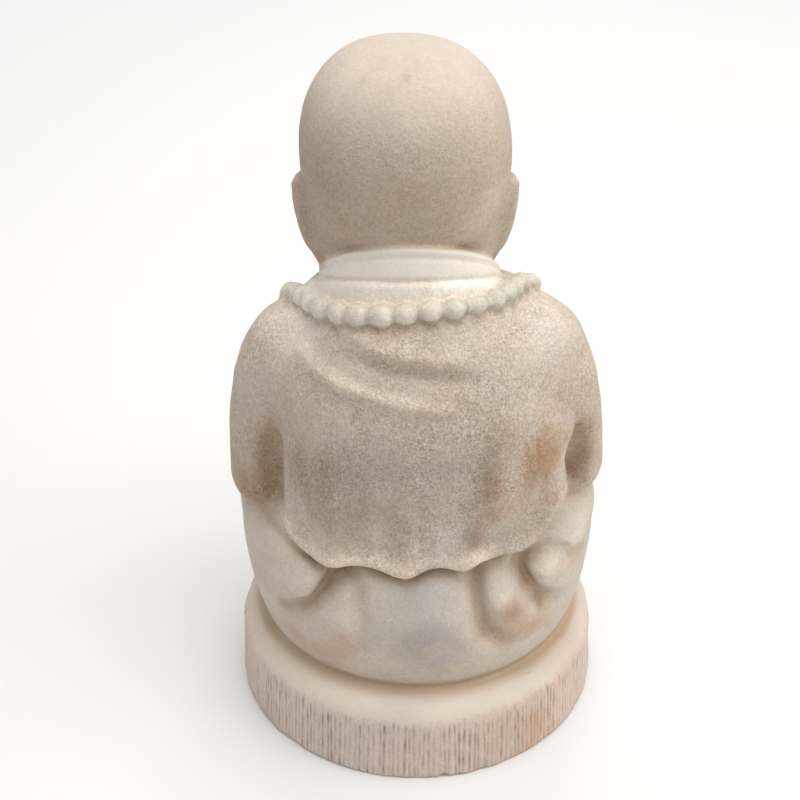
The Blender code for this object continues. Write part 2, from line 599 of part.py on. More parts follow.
def blockout():
    """Rough masses of the figure, joined into one object."""
    made = []
    bpy.ops.mesh.primitive_cylinder_add(vertices=96, radius=(PLINTH_R - 1.5) * MM, depth=PLINTH_H * MM,
                                        location=(0, 0, (0.5 * PLINTH_H - 8.0) * MM))
    made.append(bpy.context.object)
    made += drum(LOWER, SEAT_Y)
    made += drum(TORSO[:-3], 0.0)
    made += limb((7, -6, 330), (7, -12, 368), 46, 42)
    for s, (sh, mid, el) in zip((1, -1), ARMS):
        made += limb(sh[:3], mid[:3], sh[3], mid[3])
        made += limb(mid[:3], el[:3], mid[3], el[3])
        made += limb((s * 96, -14, 186), (s * WRIST[0], WRIST[1], WRIST[2]), 26, WRIST[3] + 6)
        made += limb((s * 95, -36, 150), (s * 56, -78, 120), 25, 15)
        made += limb((s * 50, 0, 92), (s * 84, -38, 90), 38, 35)
        made += limb((s * 82, -50, 86), (-s * 26, -90, 80), 30, 21)
        made.append(ball((s * 10, -93, 130), (34, 17, 13)))
        made.append(ball((HEAD_C[0] + s * 63, -18, 368), (8, 15, 28)))
    made.append(ball(HEAD_C, HEAD_R))
    made.append(ball((HEAD_C[0], -32, 378), (57, 54, 46)))
    made += [ball(c, (BEAD_R, BEAD_R, BEAD_R)) for c in bead_centres()]
    bpy.ops.object.select_all(action="DESELECT")
    for ob in made:
        ob.select_set(True)
    bpy.context.view_layer.objects.active = made[0]
    bpy.ops.object.transform_apply(location=True, rotation=True, scale=True)
    bpy.ops.object.join()
    return bpy.context.object


def applied(ob, kind, **settings):
    mod = ob.modifiers.new(kind.lower(), kind)
    for key, value in settings.items():
        setattr(mod, key, value)
    bpy.context.view_layer.objects.active = ob
    bpy.ops.object.modifier_apply(modifier=mod.name)


def settle(ob, rounds):
    """Move every vertex onto the surface of the design, along its gradient."""
    me = ob.data
    co = np.empty(len(me.vertices) * 3)
    me.vertices.foreach_get("co", co)
    v = co.reshape(-1, 3) / MM
    e = 0.3
    for k in range(rounds):
        d = design(v, False)
        g = np.stack([(design(v + o, False) - design(v - o, False)) / (2 * e) for o in np.eye(3) * e], -1)
        move = -(d / ((g * g).sum(1) + 0.05))[:, None] * g
        size = np.sqrt((move * move).sum(1))
        v = v + move * np.minimum(1.0, 3.0 / np.maximum(size, 1e-9))[:, None]
    me.vertices.foreach_set("co", (v * MM).ravel())
    me.update()


def build():
    clear()
    coll = bpy.data.collections.new(COLLECTION)
    bpy.context.scene.collection.children.link(coll)
    ob = blockout()
    ob.name = STATUE
    ob.data.name = STATUE
    for cell in CELLS:
        applied(ob, "REMESH", mode="VOXEL", voxel_size=cell, adaptivity=0.0)
        settle(ob, 5)
        applied(ob, "SMOOTH", factor=0.5, iterations=2)
        settle(ob, 2)
    count = sum(len(f.vertices) - 2 for f in ob.data.polygons)
    applied(ob, "DECIMATE", decimate_type="COLLAPSE", ratio=TRIANGLES / count, use_collapse_triangulate=True)
    # level underside
    bm = bmesh.new()
    bm.from_mesh(ob.data)
    cut = bmesh.ops.bisect_plane(bm, geom=bm.verts[:] + bm.edges[:] + bm.faces[:], dist=1e-6,
                                 plane_co=(0, 0, 0), plane_no=(0, 0, -1), clear_outer=True)
    rim = [e for e in cut["geom_cut"] if isinstance(e, bmesh.types.BMEdge)]
    base = bmesh.ops.holes_fill(bm, edges=rim, sides=0)
    bmesh.ops.triangulate(bm, faces=bm.faces[:])
    bm.to_mesh(ob.data)
    bm.free()
    for f in ob.data.polygons:
        f.use_smooth = False
    mat = bpy.data.materials.new("cast_concrete")
    mat.use_nodes = True
    shader = mat.node_tree.nodes["Principled BSDF"]
    shader.inputs["Base Color"].default_value = CONCRETE
    shader.inputs["Roughness"].default_value = ROUGHNESS
    shader.inputs["Metallic"].default_value = 0.0
    ob.data.materials.clear()
    ob.data.materials.append(mat)
    for c in list(ob.users_collection):
        c.objects.unlink(ob)
    coll.objects.link(ob)


build()
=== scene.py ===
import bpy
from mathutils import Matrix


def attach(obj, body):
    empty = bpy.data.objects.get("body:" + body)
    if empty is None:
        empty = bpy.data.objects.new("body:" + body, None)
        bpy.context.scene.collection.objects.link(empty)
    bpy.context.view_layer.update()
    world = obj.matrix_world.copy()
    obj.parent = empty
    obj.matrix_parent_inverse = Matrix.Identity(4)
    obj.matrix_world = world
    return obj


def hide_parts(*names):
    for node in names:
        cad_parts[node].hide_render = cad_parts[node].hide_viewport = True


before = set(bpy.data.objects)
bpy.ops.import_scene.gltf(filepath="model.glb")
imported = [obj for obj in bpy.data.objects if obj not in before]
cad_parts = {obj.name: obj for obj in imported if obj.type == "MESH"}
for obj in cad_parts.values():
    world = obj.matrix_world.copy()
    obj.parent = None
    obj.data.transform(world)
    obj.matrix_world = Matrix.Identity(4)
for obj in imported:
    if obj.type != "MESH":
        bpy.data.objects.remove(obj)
"""The visual model of the child monk statue: a fine skin over the same design as the solid, the raked edge of
the plinth, and the weathered surface of cast concrete. Sizes are in millimetres; MM turns them into metres.
"""

import math

import bpy
import numpy as np
from mathutils import Vector
from mathutils.geometry import delaunay_2d_cdt

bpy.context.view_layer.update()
MM = 0.001

# ---------------------------------------------------------------- named sizes, millimetres
PLINTH_R = 130.0
PLINTH_H = 58.0
PLINTH_ROUND = 13.0
PLINTH_TAPER = 0.05
SEAT_Y = -15.0                      # centre of the seated mass, in front of the plinth's axis
LEAN = 9.0                          # how far the head sits to the statue's left
HEAD_C = (9.0, -22.0, 419.0)
HEAD_R = (68.4, 66.0, 72.0)
HEAD_N = 2.3
# shoulder, middle of the upper arm and elbow with their radii; statue's left, then right
ARMS = (((83.0, 1.0, 280.0, 33.0), (94.5, -3.0, 240.0, 34.5), (98.5, -10.0, 171.0, 34.0)),
        ((-80.0, 1.0, 280.0, 33.0), (-91.0, -3.0, 240.0, 34.0), (-98.0, -10.0, 182.0, 33.0)))
PANEL_EDGE = (92.5, 103.0)          # where the back of the jacket stops, statue's left and right
# groove between the back of the jacket and each sleeve
RECESS = (((95, 38, 250), (97, 31, 222), (98, 25, 198), (98, 28, 178)), ((-105, 36, 246), (-107, 27, 220), (-108, 20, 196), (-107, 21, 182)))
WRIST = (36.0, -82.0, 139.0, 17.0)
BEAD_R = 6.9
BEAD_PITCH = 15.4

# height, half width, depth behind, depth in front of the section's centre
LOWER = ((40, 112, 111, 96), (58, 113.5, 113, 100), (66, 116, 117, 103), (78, 119.5, 120, 106), (92, 122.5, 121.5, 106),
         (106, 124.5, 121.5, 102), (120, 126, 119, 90), (135, 126.5, 113.5, 70), (150, 126.5, 107, 58),
         (160, 121.0, 100, 50), (170, 108, 93, 46), (182, 92, 82, 40), (200, 80, 74, 34))
TORSO = ((140, 100, 97, 72), (150, 100.5, 96.5, 73), (165, 99.5, 93, 74), (180, 98.5, 91, 74), (200, 98, 88.5, 73),
         (220, 98, 87, 71), (240, 98, 85, 69), (260, 97.5, 83, 67), (280, 96, 79, 64), (300, 91, 74, 59),
         (315, 79, 69, 52), (330, 67, 61, 45), (345, 57, 52, 41), (360, 50, 46, 38), (378, 40, 40, 36))

# folds of the jacket's back: ends x,z and x,z, sag, height, half width
BACK_FOLDS = ((52, 328, -34, 313, -2.0, 2.4, 5.5),
              (46, 312, -48, 299, -1.5, -3.3, 5.5),
              (76, 303, -30, 281, -2.0, 4.2, 5.2),
              (66, 276, -10, 262, -3.0, 0.9, 8.0),
              (-15, 318, -64, 326, -3.0, 1.3, 6.5))
FLUTES = ((60, 3.2, 10.0), (6, 4.6, 9.0), (-34, 2.6, 8.0), (-70, 3.0, 9.0))      # x, height, half width
HEM = ((66, 8.0, 18), (13, 6.2, 16), (-28, 3.0, 9), (-113, -33.0, 25), (84, 2.6, 10), (-58, -3.0, 18))   # x, drop, half width
# creases of the lower robe seen from behind: a path x,z and its depth and half width; then soft swellings
LOWER_FOLDS = (((54, 151), (63, 135), (72, 121), (92, 104), -11.0, 6.0),
               ((74, 152), (85, 145), (96, 138), (108, 130), -2.6, 5.5),
               ((44, 152), (40, 140), (38, 124), (38, 96), -5.0, 6.0),
               ((-67, 150), (-73, 136), (-80, 124), (-95, 108), -10.5, 6.0),
               ((-38, 150), (-40, 135), (-43, 114), (-56, 95), -9.0, 6.5),
               ((-75, 153), (-87, 153), (-100, 145), (-114, 127), -6.5, 5.0))
LOWER_BULGES = ((81, 137, 5.5, 14), (-90, 141, 6.5, 10), (-110, 150, 4.0, 10), (-57, 130, 4.5, 11), (-78, 97, 4.5, 15),
                (-1, 125, 3.0, 28), (57, 116, 3.0, 10))
# creases of the cloth over the crossed legs in front, x,z paths
SHIN_FOLDS = (((-70, 108), (-38, 99), (4, 99), (40, 108), -1.8, 4.0),
              ((-84, 96), (-48, 84), (-6, 80), (30, 84), -2.2, 4.5),
              ((66, 100), (46, 88), (20, 76), (-8, 70), -2.2, 4.0),
              ((88, 90), (70, 78), (44, 70), (20, 67), -1.8, 4.0))


def smin(a, b, k):
    h = np.clip(0.5 + 0.5 * (b - a) / k, 0.0, 1.0)
    return b + (a - b) * h - k * h * (1 - h)


def smax(a, b, k):
    h = np.clip(0.5 - 0.5 * (b - a) / k, 0.0, 1.0)
    return b + (a - b) * h + k * h * (1 - h)


def step(x, a, b):
    t = np.clip((x - a) / (b - a), 0.0, 1.0)
    return t * t * (3 - 2 * t)


def bell(x, w):
    return np.exp(-(x / w) ** 2)


def near(p, lo, hi):
    """Indices of the points inside a box."""
    m = (p[0] > lo[0]) & (p[0] < hi[0]) & (p[1] > lo[1]) & (p[1] < hi[1]) & (p[2] > lo[2]) & (p[2] < hi[2])
    return np.flatnonzero(m)


def part_of(p, i):
    return p[0][i], p[1][i], p[2][i]


def ell(p, c, r):
    x, y, z = (p[0] - c[0]) / r[0], (p[1] - c[1]) / r[1], (p[2] - c[2]) / r[2]
    a = x * x
    b = y * y
    c = z * z
    k0 = np.sqrt(a + b + c) + 1e-9
    k1 = np.sqrt(a / r[0] ** 2 + b / r[1] ** 2 + c / r[2] ** 2) + 1e-9
    return k0 * (k0 - 1) / k1


def super_ell(p, c, r, n):
    x, y, z = np.abs(p[0] - c[0]), np.abs(p[1] - c[1]), np.abs(p[2] - c[2])
    s = ((x / r[0]) ** n + (y / r[1]) ** n + (z / r[2]) ** n) ** (1 / n) + 1e-9
    return (s - 1) * np.sqrt(x * x + y * y + z * z) / s


def cap(p, a, b, ra, rb=None):
    """Tapered bar with round ends."""
    rb = ra if rb is None else rb
    ux, uy, uz = b[0] - a[0], b[1] - a[1], b[2] - a[2]
    x, y, z = p[0] - a[0], p[1] - a[1], p[2] - a[2]
    t = np.clip((x * ux + y * uy + z * uz) / (ux * ux + uy * uy + uz * uz), 0, 1)
    x = x - t * ux
    y = y - t * uy
    z = z - t * uz
    return np.sqrt(x * x + y * y + z * z) - (ra + (rb - ra) * t)


def chain(p, pts, r):
    r = np.broadcast_to(np.asarray(r, float), (len(pts),))
    out = None
    for i in range(len(pts) - 1):
        d = cap(p, pts[i], pts[i + 1], r[i], r[i + 1])
        out = d if out is None else np.minimum(out, d)
    return out


def arc(p0, p1, p2, n=7):
    """Points along a quadratic curve."""
    t = np.linspace(0, 1, n)[:, None]
    p0, p1, p2 = (np.asarray(v, float) for v in (p0, p1, p2))
    return (1 - t) ** 2 * p0 + 2 * t * (1 - t) * p1 + t ** 2 * p2


def turned(p, c, deg):
    a = np.radians(deg)
    x, y = p[0] - c[0], p[1] - c[1]
    return c[0] + x * np.cos(a) - y * np.sin(a), c[1] + x * np.sin(a) + y * np.cos(a), p[2]


def profile(table, z, step_mm=0.5):
    """Smooth interpolation of a table of section sizes, through a fine lookup."""
    t = np.asarray(table, float)
    zz = np.arange(t[0, 0], t[-1, 0] + step_mm, step_mm)
    zc = np.clip(zz, t[0, 0], t[-1, 0])
    i = np.clip(np.searchsorted(t[:, 0], zc, side="right") - 1, 0, len(t) - 2)
    h = t[i + 1, 0] - t[i, 0]
    u = (zc - t[i, 0]) / h
    cols = []
    for c in range(1, t.shape[1]):
        v = t[:, c]
        m = np.gradient(v, t[:, 0])
        fine = ((2 * u ** 3 - 3 * u ** 2 + 1) * v[i] + (u ** 3 - 2 * u ** 2 + u) * h * m[i]
                + (3 * u ** 2 - 2 * u ** 3) * v[i + 1] + (u ** 3 - u ** 2) * h * m[i + 1])
        cols.append(np.interp(z, zz, fine))
    return cols


def loft(p, table, cx, cy, n):
    """Level distance to a stack of superellipse sections."""
    w, b, f = profile(table, p[2])
    x = np.abs(p[0] - cx)
    y = p[1] - cy
    d = np.where(y > 0, b, f)
    y = np.abs(y)
    rho = ((x / w) ** n + (y / d) ** n) ** (1 / n) + 1e-9
    return np.where(rho < 0.2, -0.8 * np.minimum(w, d), (rho - 1) * np.sqrt(x * x + y * y) / rho)


def line_shift(z):
    return LEAN * step(z, 300, 420)


# ---------------------------------------------------------------- folds
def seg2(x, z, a, b):
    dx, dz = b[0] - a[0], b[1] - a[1]
    t = np.clip(((x - a[0]) * dx + (z - a[1]) * dz) / (dx * dx + dz * dz), 0, 1)
    return np.hypot(x - a[0] - t * dx, z - a[1] - t * dz), t


def back_relief(x, z):
    """Outward height of the folds on the jacket's back."""
    h = 0.0
    for x0, z0, x1, z1, sag, amp, w in BACK_FOLDS:
        t = (x - x0) / (x1 - x0)
        zc = z0 + (z1 - z0) * t + sag * 4 * t * (1 - t)
        h = h + amp * bell(z - zc, w) * step(t, -0.12, 0.18) * (1 - step(t, 0.62, 1.1))
    rise = 1 - step(z, 150, 255)
    for fx, amp, w in FLUTES:
        h = h + amp * (bell(x - fx * (1 - 0.10 * (z - 155) / 100), w) - 0.35 * bell(x - fx, 2.2 * w)) * rise
    return h


def hem_height(x):
    z = 161.5
    for hx, drop, w in HEM:
        z = z - drop * bell(x - hx, w)
    return z


def creases(x, z, folds, fade):
    h = 0.0
    for fold in folds:
        path, amp, w = fold[:4], fold[4], fold[5]
        dist = fad = None
        for k in range(3):
            s, t = seg2(x, z, path[k], path[k + 1])
            f = fade[k] + (fade[k + 1] - fade[k]) * t
            if dist is None:
                dist, fad = s, f
            else:
                m = s < dist
                dist = np.where(m, s, dist)
                fad = np.where(m, f, fad)
        h = h + amp * bell(dist, w) * fad
    return h


def lower_relief(x, z):
    h = creases(x, z, LOWER_FOLDS, (1.0, 0.9, 0.72, 0.35))
    for bx, bz, amp, w in LOWER_BULGES:
        h = h + amp * bell(np.hypot(x - bx, z - bz), w)
    return h


# ---------------------------------------------------------------- masses
def plinth(p):
    r = np.hypot(p[0], p[1]) + PLINTH_TAPER * p[2]
    qx = r - (PLINTH_R - PLINTH_ROUND)
    qz = p[2] - (PLINTH_H - PLINTH_ROUND)
    d = np.hypot(np.maximum(qx, 0), np.maximum(qz, 0)) + np.minimum(np.maximum(qx, qz), 0) - PLINTH_ROUND
    return smax(d, -p[2] - 8.0, 2.0)


def robe(p):
    x, y, z = p
    d = loft(p, LOWER, 0.0, SEAT_Y, 2.0)
    d = d - lower_relief(x, z) * step(y, -10, 30) * step(z, 66, 86)
    d = d + 3.2 * bell(z - hem_height(x) + 1.0, 6.5) * step(y, 0, 25)
    d = smax(d, z - 188, 20)
    d = smax(d, 45 - z, 4)
    # crossed legs under the cloth in front
    i = near(p, (-170, -150, 20), (170, 60, 170))
    q = part_of(p, i)
    e = d[i]
    for s in (-1, 1):
        e = smin(e, cap(q, (s * 50, 0, 92), (s * 84, -38, 90), 38, 35), 10)
    e = smin(e, cap(q, (82, -50, 85), (-30, -86, 77), 30, 21), 8)
    e = smin(e, cap(q, (-82, -50, 87), (24, -93, 84), 30, 21), 5)
    e = e - creases(q[0], q[2], SHIN_FOLDS, (0.4, 1.0, 1.0, 0.4)) * step(-q[1], 45, 70)
    d[i] = e
    return d


def collar_low(y):
    return 336.0 + 0.52 * y


def lapels(x, y, z):
    """Height of the crossed front edges of the jacket and of the sash."""
    # u runs across each edge, away from the neck
    u = ((x - 56) * 167 - (z - 345) * 118) / 204.5
    v = (-(x + 40) * 167 - (z - 345) * 118) / 204.5
    left = step(u, -9.5, -6.5) * (3.6 - 2.0 * step(u, 7.0, 9.5)) - 0.9 * bell(u - 4.5, 1.4)
    right = step(v, -9.5, -6.5) * (2.2 - 1.6 * step(v, 7.0, 9.5)) - 0.7 * bell(v - 4.5, 1.4)
    h = smax(left, right - 4.0 * step(u, -11, -8), 0.6)
    t = z - 172 - 0.0006 * x * x
    sash = 5.0 * (1 - step(np.abs(t), 8.5, 11.0)) - 0.8 * (bell(t - 3.5, 1.3) + bell(t + 3.5, 1.3))
    h = smax(h * step(z, 168, 176), sash, 1.0)
    return h * step(-y, 6, 24)


def jacket(p):
    x, y, z = p
    # behind, the cloth spreads flatter and wider on the statue's right
    spread = 12.0 * step(-x, 30, 105) * (1 - step(z, 224, 272)) * step(y, -10, 15)
    d = loft((x + spread, y, z), TORSO, line_shift(z), 0.0, 2.35)
    d = d - (back_relief(x, z) + 2.0 * bell(z - hem_height(x) - 6.0, 6.0)) * step(y, 5, 35)
    lower = 1 - step(z, 225, 262)
    side = smax(x - PANEL_EDGE[0], -x - PANEL_EDGE[1] + 4.5 * bell(z - 217, 17), 2.0)
    side = np.where(y > 4, side, -20.0) - 40 * (1 - lower)
    d = smax(d, side, 2.6)
    d = smax(d, np.where(y > -20, hem_height(x), 150.0) - z, 5.0)
    d = smax(d, (z - collar_low(y) - 2.0) * 0.88, 7.0)
    return d - lapels(x, y, z)


def arms(p, d, k):
    """Adds both arms to the distance d."""
    for s, (sh, mid, el) in zip((1, -1), ARMS):
        i = near(p, (12, -150, 70), (180, 90, 350)) if s > 0 else near(p, (-180, -150, 70), (-12, 90, 350))
        if not len(i):
            continue
        q = part_of(p, i)
        bend = [2 * m - 0.5 * (a + b) for a, m, b in zip(sh, mid, el)]
        path = arc(sh, bend, el, 6)
        up = chain(q, path[:, :3], path[:, 3])
        wr = (s * WRIST[0], WRIST[1], WRIST[2])
        fore = cap(q, (s * 96, -16, 177), wr, 26, WRIST[3] + 6)
        hang = cap(q, (s * 95, -36, 150), (s * 54, -80, 119), 25, 16)
        a = smin(up, fore, 8)
        b = smin(a, hang, 16)
        # mouth of the sleeve
        cut = (WRIST[0] - s * q[0]) * 0.84 + (WRIST[1] - q[1]) * 0.42 + (WRIST[2] - q[2]) * 0.34
        b = smax(b, cut - 4.0, 3.5)
        hollow = ell(q, (s * (WRIST[0] - 5), WRIST[1] - 3, WRIST[2] - 4), (9, 20, 16))
        b = smax(b, -hollow, 2.0)
        b = smax(b, -chain(q, RECESS[0 if s > 0 else 1], (4.0, 8.0, 10.0, 8.0)), 11.0)
        d[i] = smin(d[i], b, k[i])
    return d


def collar(p):
    x, y, z = p
    low = collar_low(y)
    top = 350 + 0.84 * (y + 1)
    t = np.clip((z - low) / np.maximum(top - low, 6.0), -0.6, 1.3)
    w = 63.5 - 10.0 * t
    b = 53.0 - 7.5 * t
    rho = np.sqrt(((x - 6) / w) ** 2 + ((y + 6) / b) ** 2) + 1e-9
    band = (rho - 1) * np.hypot(x - 6, y + 6) / rho
    lip = bell(z - top + 5.5, 2.6) * 1.3 - bell(z - top + 10.5, 2.4) * 0.7
    band = band - (lip - bell(z - low, 2.4) * 2.6) * step(y, -24, -4)
    d = smax(band, (z - top) * 0.76, 4.0)
    d = smax(d, 305 - z, 4)
    return d + 14 * step(-y, 6, 30)


def head(p):
    cx = HEAD_C[0]
    q = (p[0] - 0.02 * (p[2] - HEAD_C[2]), p[1], p[2])
    d = super_ell(q, HEAD_C, HEAD_R, HEAD_N)
    d = smin(d, super_ell(p, (cx - 0.5, -30, 378), (57.5, 52, 52), 2.2), 12)
    # thick nape, as wide as the head, down into the collar
    nape = (p[0], -12 + (p[1] + 12) * np.where(p[1] < -12, 1.5, 1.0), p[2])
    d = smin(d, super_ell(nape, (cx, -12, 366), (60.0, 34, 60), 2.4), 9)
    for s in (-1, 1):
        d = smin(d, ell(p, (cx + s * 33, -57, 384), (24, 24, 23)), 10)
    d = smin(d, ell(p, (cx, -64, 378), (26, 25.5, 21)), 12)
    return smin(d, ell(p, (cx, -70, 355), (17, 16.5, 13)), 9)


def front_of(fn, x, z):
    """Foremost y of a shape at x, z."""
    x, z = (np.asarray(v, float) for v in np.broadcast_arrays(x, z))
    a, b = np.full(x.shape, -50.0), np.full(x.shape, -125.0)
    for _ in range(24):
        y = 0.5 * (a + b)
        inside = fn((x, y, z)) < 0
        a = np.where(inside, y, a)
        b = np.where(inside, b, y)
    return a


def laid(fn, pts, sink=0.0):
    """Points x from the face's middle, z, laid on a shape and sunk into it."""
    pts = np.asarray(pts, float)
    x = HEAD_C[0] + pts[:, 0]
    return np.stack([x, front_of(fn, x, pts[:, 1]) + sink, pts[:, 1]], -1)


def curve2(a, b, c, n=7):
    return arc(a + (0,), b + (0,), c + (0,), n)[:, :2]


EYE_Z, MOUTH_Z = 407.0, 373.5
KEEP = {}


def kept(name, make):
    if name not in KEEP:
        KEEP[name] = make()
    return KEEP[name]


def face_masses(p):
    """Head with sockets, closed eyes and nose."""
    cx = HEAD_C[0]
    d = head(p)
    eyes = kept("eyes", lambda: laid(head, ((-25, EYE_Z), (25, EYE_Z))))
    for e in eyes:
        d = smax(d, -ell(p, (e[0], e[1] - 7.0, EYE_Z + 3.5), (18, 12, 11)), 11)
    for e in eyes:
        d = smin(d, ell(p, (e[0], e[1] + 12.2, EYE_Z), (15.5, 12.0, 9.5)), 3.5)
    n = kept("nose", lambda: laid(head, ((0, EYE_Z + 8), (0, 388.0))))
    bridge, tip = n[0, 1] + 2.5, n[1, 1] - 5.0
    path = ((cx, bridge, EYE_Z + 9), (cx, 0.45 * bridge + 0.55 * tip + 1.2, 398), (cx, tip, 389.5))
    d = smin(d, chain(p, path, (3.6, 4.2, 5.4)), 6)
    for s in (-1, 1):
        d = smin(d, ell(p, (cx + s * 7.0, tip + 5.5, 387.5), (4.6, 6.0, 4.2)), 3.0)
    return d


def face(p, fine):
    cx = HEAD_C[0]
    d = face_masses(p)
    brows = kept("brows", lambda: [laid(face_masses, curve2((s * 9, EYE_Z + 13.5), (s * 25, EYE_Z + 24), (s * 43, EYE_Z + 13)), 1.4) for s in (-1, 1)])
    for b in brows:
        d = smin(d, chain(p, b, (1.0, 1.7, 2.1, 2.2, 2.0, 1.6, 0.9)), 6)
    m = MOUTH_Z
    up = kept("up", lambda: laid(head, ((-13, m + 1.8), (-9, m + 2.6), (-4, m + 3.9), (0, m + 3.2), (4, m + 3.9), (9, m + 2.6), (13, m + 1.8)), 0.9))
    lo = kept("lo", lambda: laid(head, curve2((-11.5, m - 0.4), (0, m - 7.6), (11.5, m - 0.4)), 1.0))
    d = smin(d, chain(p, up, (0.6, 1.6, 2.4, 2.4, 2.4, 1.6, 0.6)), 3.5)
    d = smin(d, chain(p, lo, (0.6, 2.0, 3.0, 3.4, 3.0, 2.0, 0.6)), 3.5)
    if not fine:
        return d
    lids = kept("lids", lambda: [laid(face_masses, curve2((s * 11.0, EYE_Z - 1.5), (s * 25, EYE_Z - 10.0), (s * 39.5, EYE_Z - 1.5), 11), 0.15) for s in (-1, 1)])
    tops = kept("tops", lambda: [laid(face_masses, curve2((s * 12.0, EYE_Z + 4.0), (s * 25, EYE_Z + 14.0), (s * 39.0, EYE_Z + 3.5), 11), 0.25) for s in (-1, 1)])
    for line in lids:
        d = smax(d, -chain(p, line, np.array((0.5, 0.9, 1.1, 1.2, 1.25, 1.25, 1.25, 1.2, 1.1, 0.9, 0.5))), 1.2)
    for line in tops:
        d = smax(d, -chain(p, line, np.array((0.3, 0.5, 0.7, 0.8, 0.8, 0.8, 0.8, 0.8, 0.7, 0.5, 0.3))), 1.6)
    tip = KEEP["nose"][1, 1] - 5.0
    for s in (-1, 1):
        d = smax(d, -ell(p, (cx + s * 4.0, tip + 1.0, 383.2), (1.8, 2.6, 1.8)), 1.4)
        d = smax(d, -ell(p, (cx + s * 16.5, front_cached("corner"), m + 2.6), (2.2, 2.6, 2.2)), 3.0)
    gap = kept("gap", lambda: laid(head, ((-16, m + 2.6), (-11, m + 1.0), (-5, m + 0.7), (0, m + 0.2), (5, m + 0.7), (11, m + 1.0), (16, m + 2.6)), -0.6)
               + np.array([(0, 1.2, 0), (0, 0.2, 0), (0, -0.9, 0), (0, -1.1, 0), (0, -0.9, 0), (0, 0.2, 0), (0, 1.2, 0)]))
    d = smax(d, -chain(p, gap, (0.5, 0.9, 1.1, 1.1, 1.1, 0.9, 0.5)), 1.4)
    ph = kept("philtrum", lambda: laid(head, ((0, m + 9.0), (0, m + 5.8)), -0.7))
    return smax(d, -cap(p, ph[0], ph[1], 1.5), 2.4)


def front_cached(name):
    return kept(name, lambda: laid(head, ((16.5, MOUTH_Z + 2.6),), -0.4))[0, 1]


def ears(p):
    q = (np.abs(p[0] - HEAD_C[0]) - 0.09 * (p[2] - 392), p[1], p[2])
    top = (63.0, -20, 371)
    e = ell(turned(q, top, 22.0), top, (5.0, 16.0, 24.0))
    e = smin(e, ell(q, (58.5, -26, 350.0), (5.5, 9.0, 13.0)), 8)
    rim = np.vstack([arc((63, -35, 378), (65.5, -31, 404), (70.0, -12, 398.5), 6), arc((70.0, -12, 398.5), (71.5, 2, 371), (60.0, -22, 341), 7)[1:]])
    e = smin(e, chain(q, rim, np.interp(np.arange(12), (0, 5, 9, 11), (2.0, 3.0, 3.1, 3.9))), 3.0)
    e = smax(e, -ell(turned(q, (68.0, -21, 373), 22.0), (68.0, -21, 373), (5.0, 9.5, 15.0)), 3.0)
    e = smin(e, chain(q, arc((66, -28, 388), (70.5, -13, 388), (65.5, -14, 360)), 1.8), 2.2)
    return smin(e, ell(q, (61.5, -34, 367), (4.0, 3.5, 6.0)), 3.0)


def hands(p):
    """Hands laid one in the other, palms up, thumbs meeting."""
    d = None
    for s, dz in ((1, -3.0), (-1, 7.5)):
        h = smin(cap(p, (s * 46, -78, 137 + dz * 0.3), (s * 26, -92, 128 + dz), 14.0, 12.5),
                 ell(p, (s * 17, -96, 124.5 + dz), (19, 17.0, 8.8)), 7)
        for i, length in enumerate((25, 29, 27, 20)):
            y0 = -109.0 + 8.8 * i
            a = (s * 6, y0 + 0.5, 124.4 + dz)
            b = (-s * (0.55 * length - 4), y0 + 1.0 + 0.2 * i, 125.4 + dz)
            c = (-s * (length - 5), y0 + 2.0 + 0.5 * i, 122.6 + dz)
            h = smin(h, chain(p, (a, b, c), (6.4, 6.0, 5.3)), 1.6)
        thumb = arc((s * 30, -103, 128 + dz), (s * 18, -114, 143 + 0.35 * dz), (s * 3.2, -106.5, 147.5), 5)
        h = smin(h, chain(p, thumb, (8.0, 7.4, 6.4, 6.0, 5.4)), 4.0)
        d = h if d is None else smin(d, h, 1.2)
    return d


def arm_blend(z):
    return 2.0 + 16.0 * step(z, 220, 295)


def add(d, p, lo, hi, fn, k):
    i = near(p, lo, hi)
    if len(i):
        d[i] = smin(d[i], fn(part_of(p, i)), k)
    return d


def bead_height(phi):
    s, c = np.sin(phi), np.cos(phi)
    side = 320.0 - 4.0 * c
    return np.where(s >= 0, side + (342.0 - side) * np.abs(s) ** (0.72 + 0.10 * c) - 5.5 * c * s, side - 68.0 * np.abs(s) ** 1.15)


def bead_centres():
    cx, cy = 4.0, -10.0
    phi = np.radians(np.arange(0, 360, 0.5))
    z = bead_height(phi)

    def cloth(q):
        return arms(q, jacket(q), arm_blend(q[2]))
    lo = np.full(phi.shape, 20.0)
    hi = np.full(phi.shape, 150.0)
    for _ in range(26):
        r = 0.5 * (lo + hi)
        inside = cloth((cx + r * np.cos(phi), cy + r * np.sin(phi), z)) < 0
        lo = np.where(inside, r, lo)
        hi = np.where(inside, hi, r)
    path = np.stack([cx + lo * np.cos(phi), cy + lo * np.sin(phi), z], -1)
    s = np.concatenate([[0], np.cumsum(np.linalg.norm(np.roll(path, -1, 0) - path, axis=1))])
    n = int(round(s[-1] / BEAD_PITCH))
    want = (np.arange(n) + 0.25) * s[-1] / n
    closed = np.vstack([path, path[:1]])
    c = np.stack([np.interp(want, s, closed[:, i]) for i in range(3)], -1)
    g = np.stack([cloth(tuple((c + o).T)) - cloth(tuple((c - o).T)) for o in np.eye(3) * 0.5], -1)
    return c + g / np.linalg.norm(g, axis=1)[:, None] * (1.2 - 1.6 * bell(c[:, 1:2] + 18, 16) * (c[:, :1] > 0))


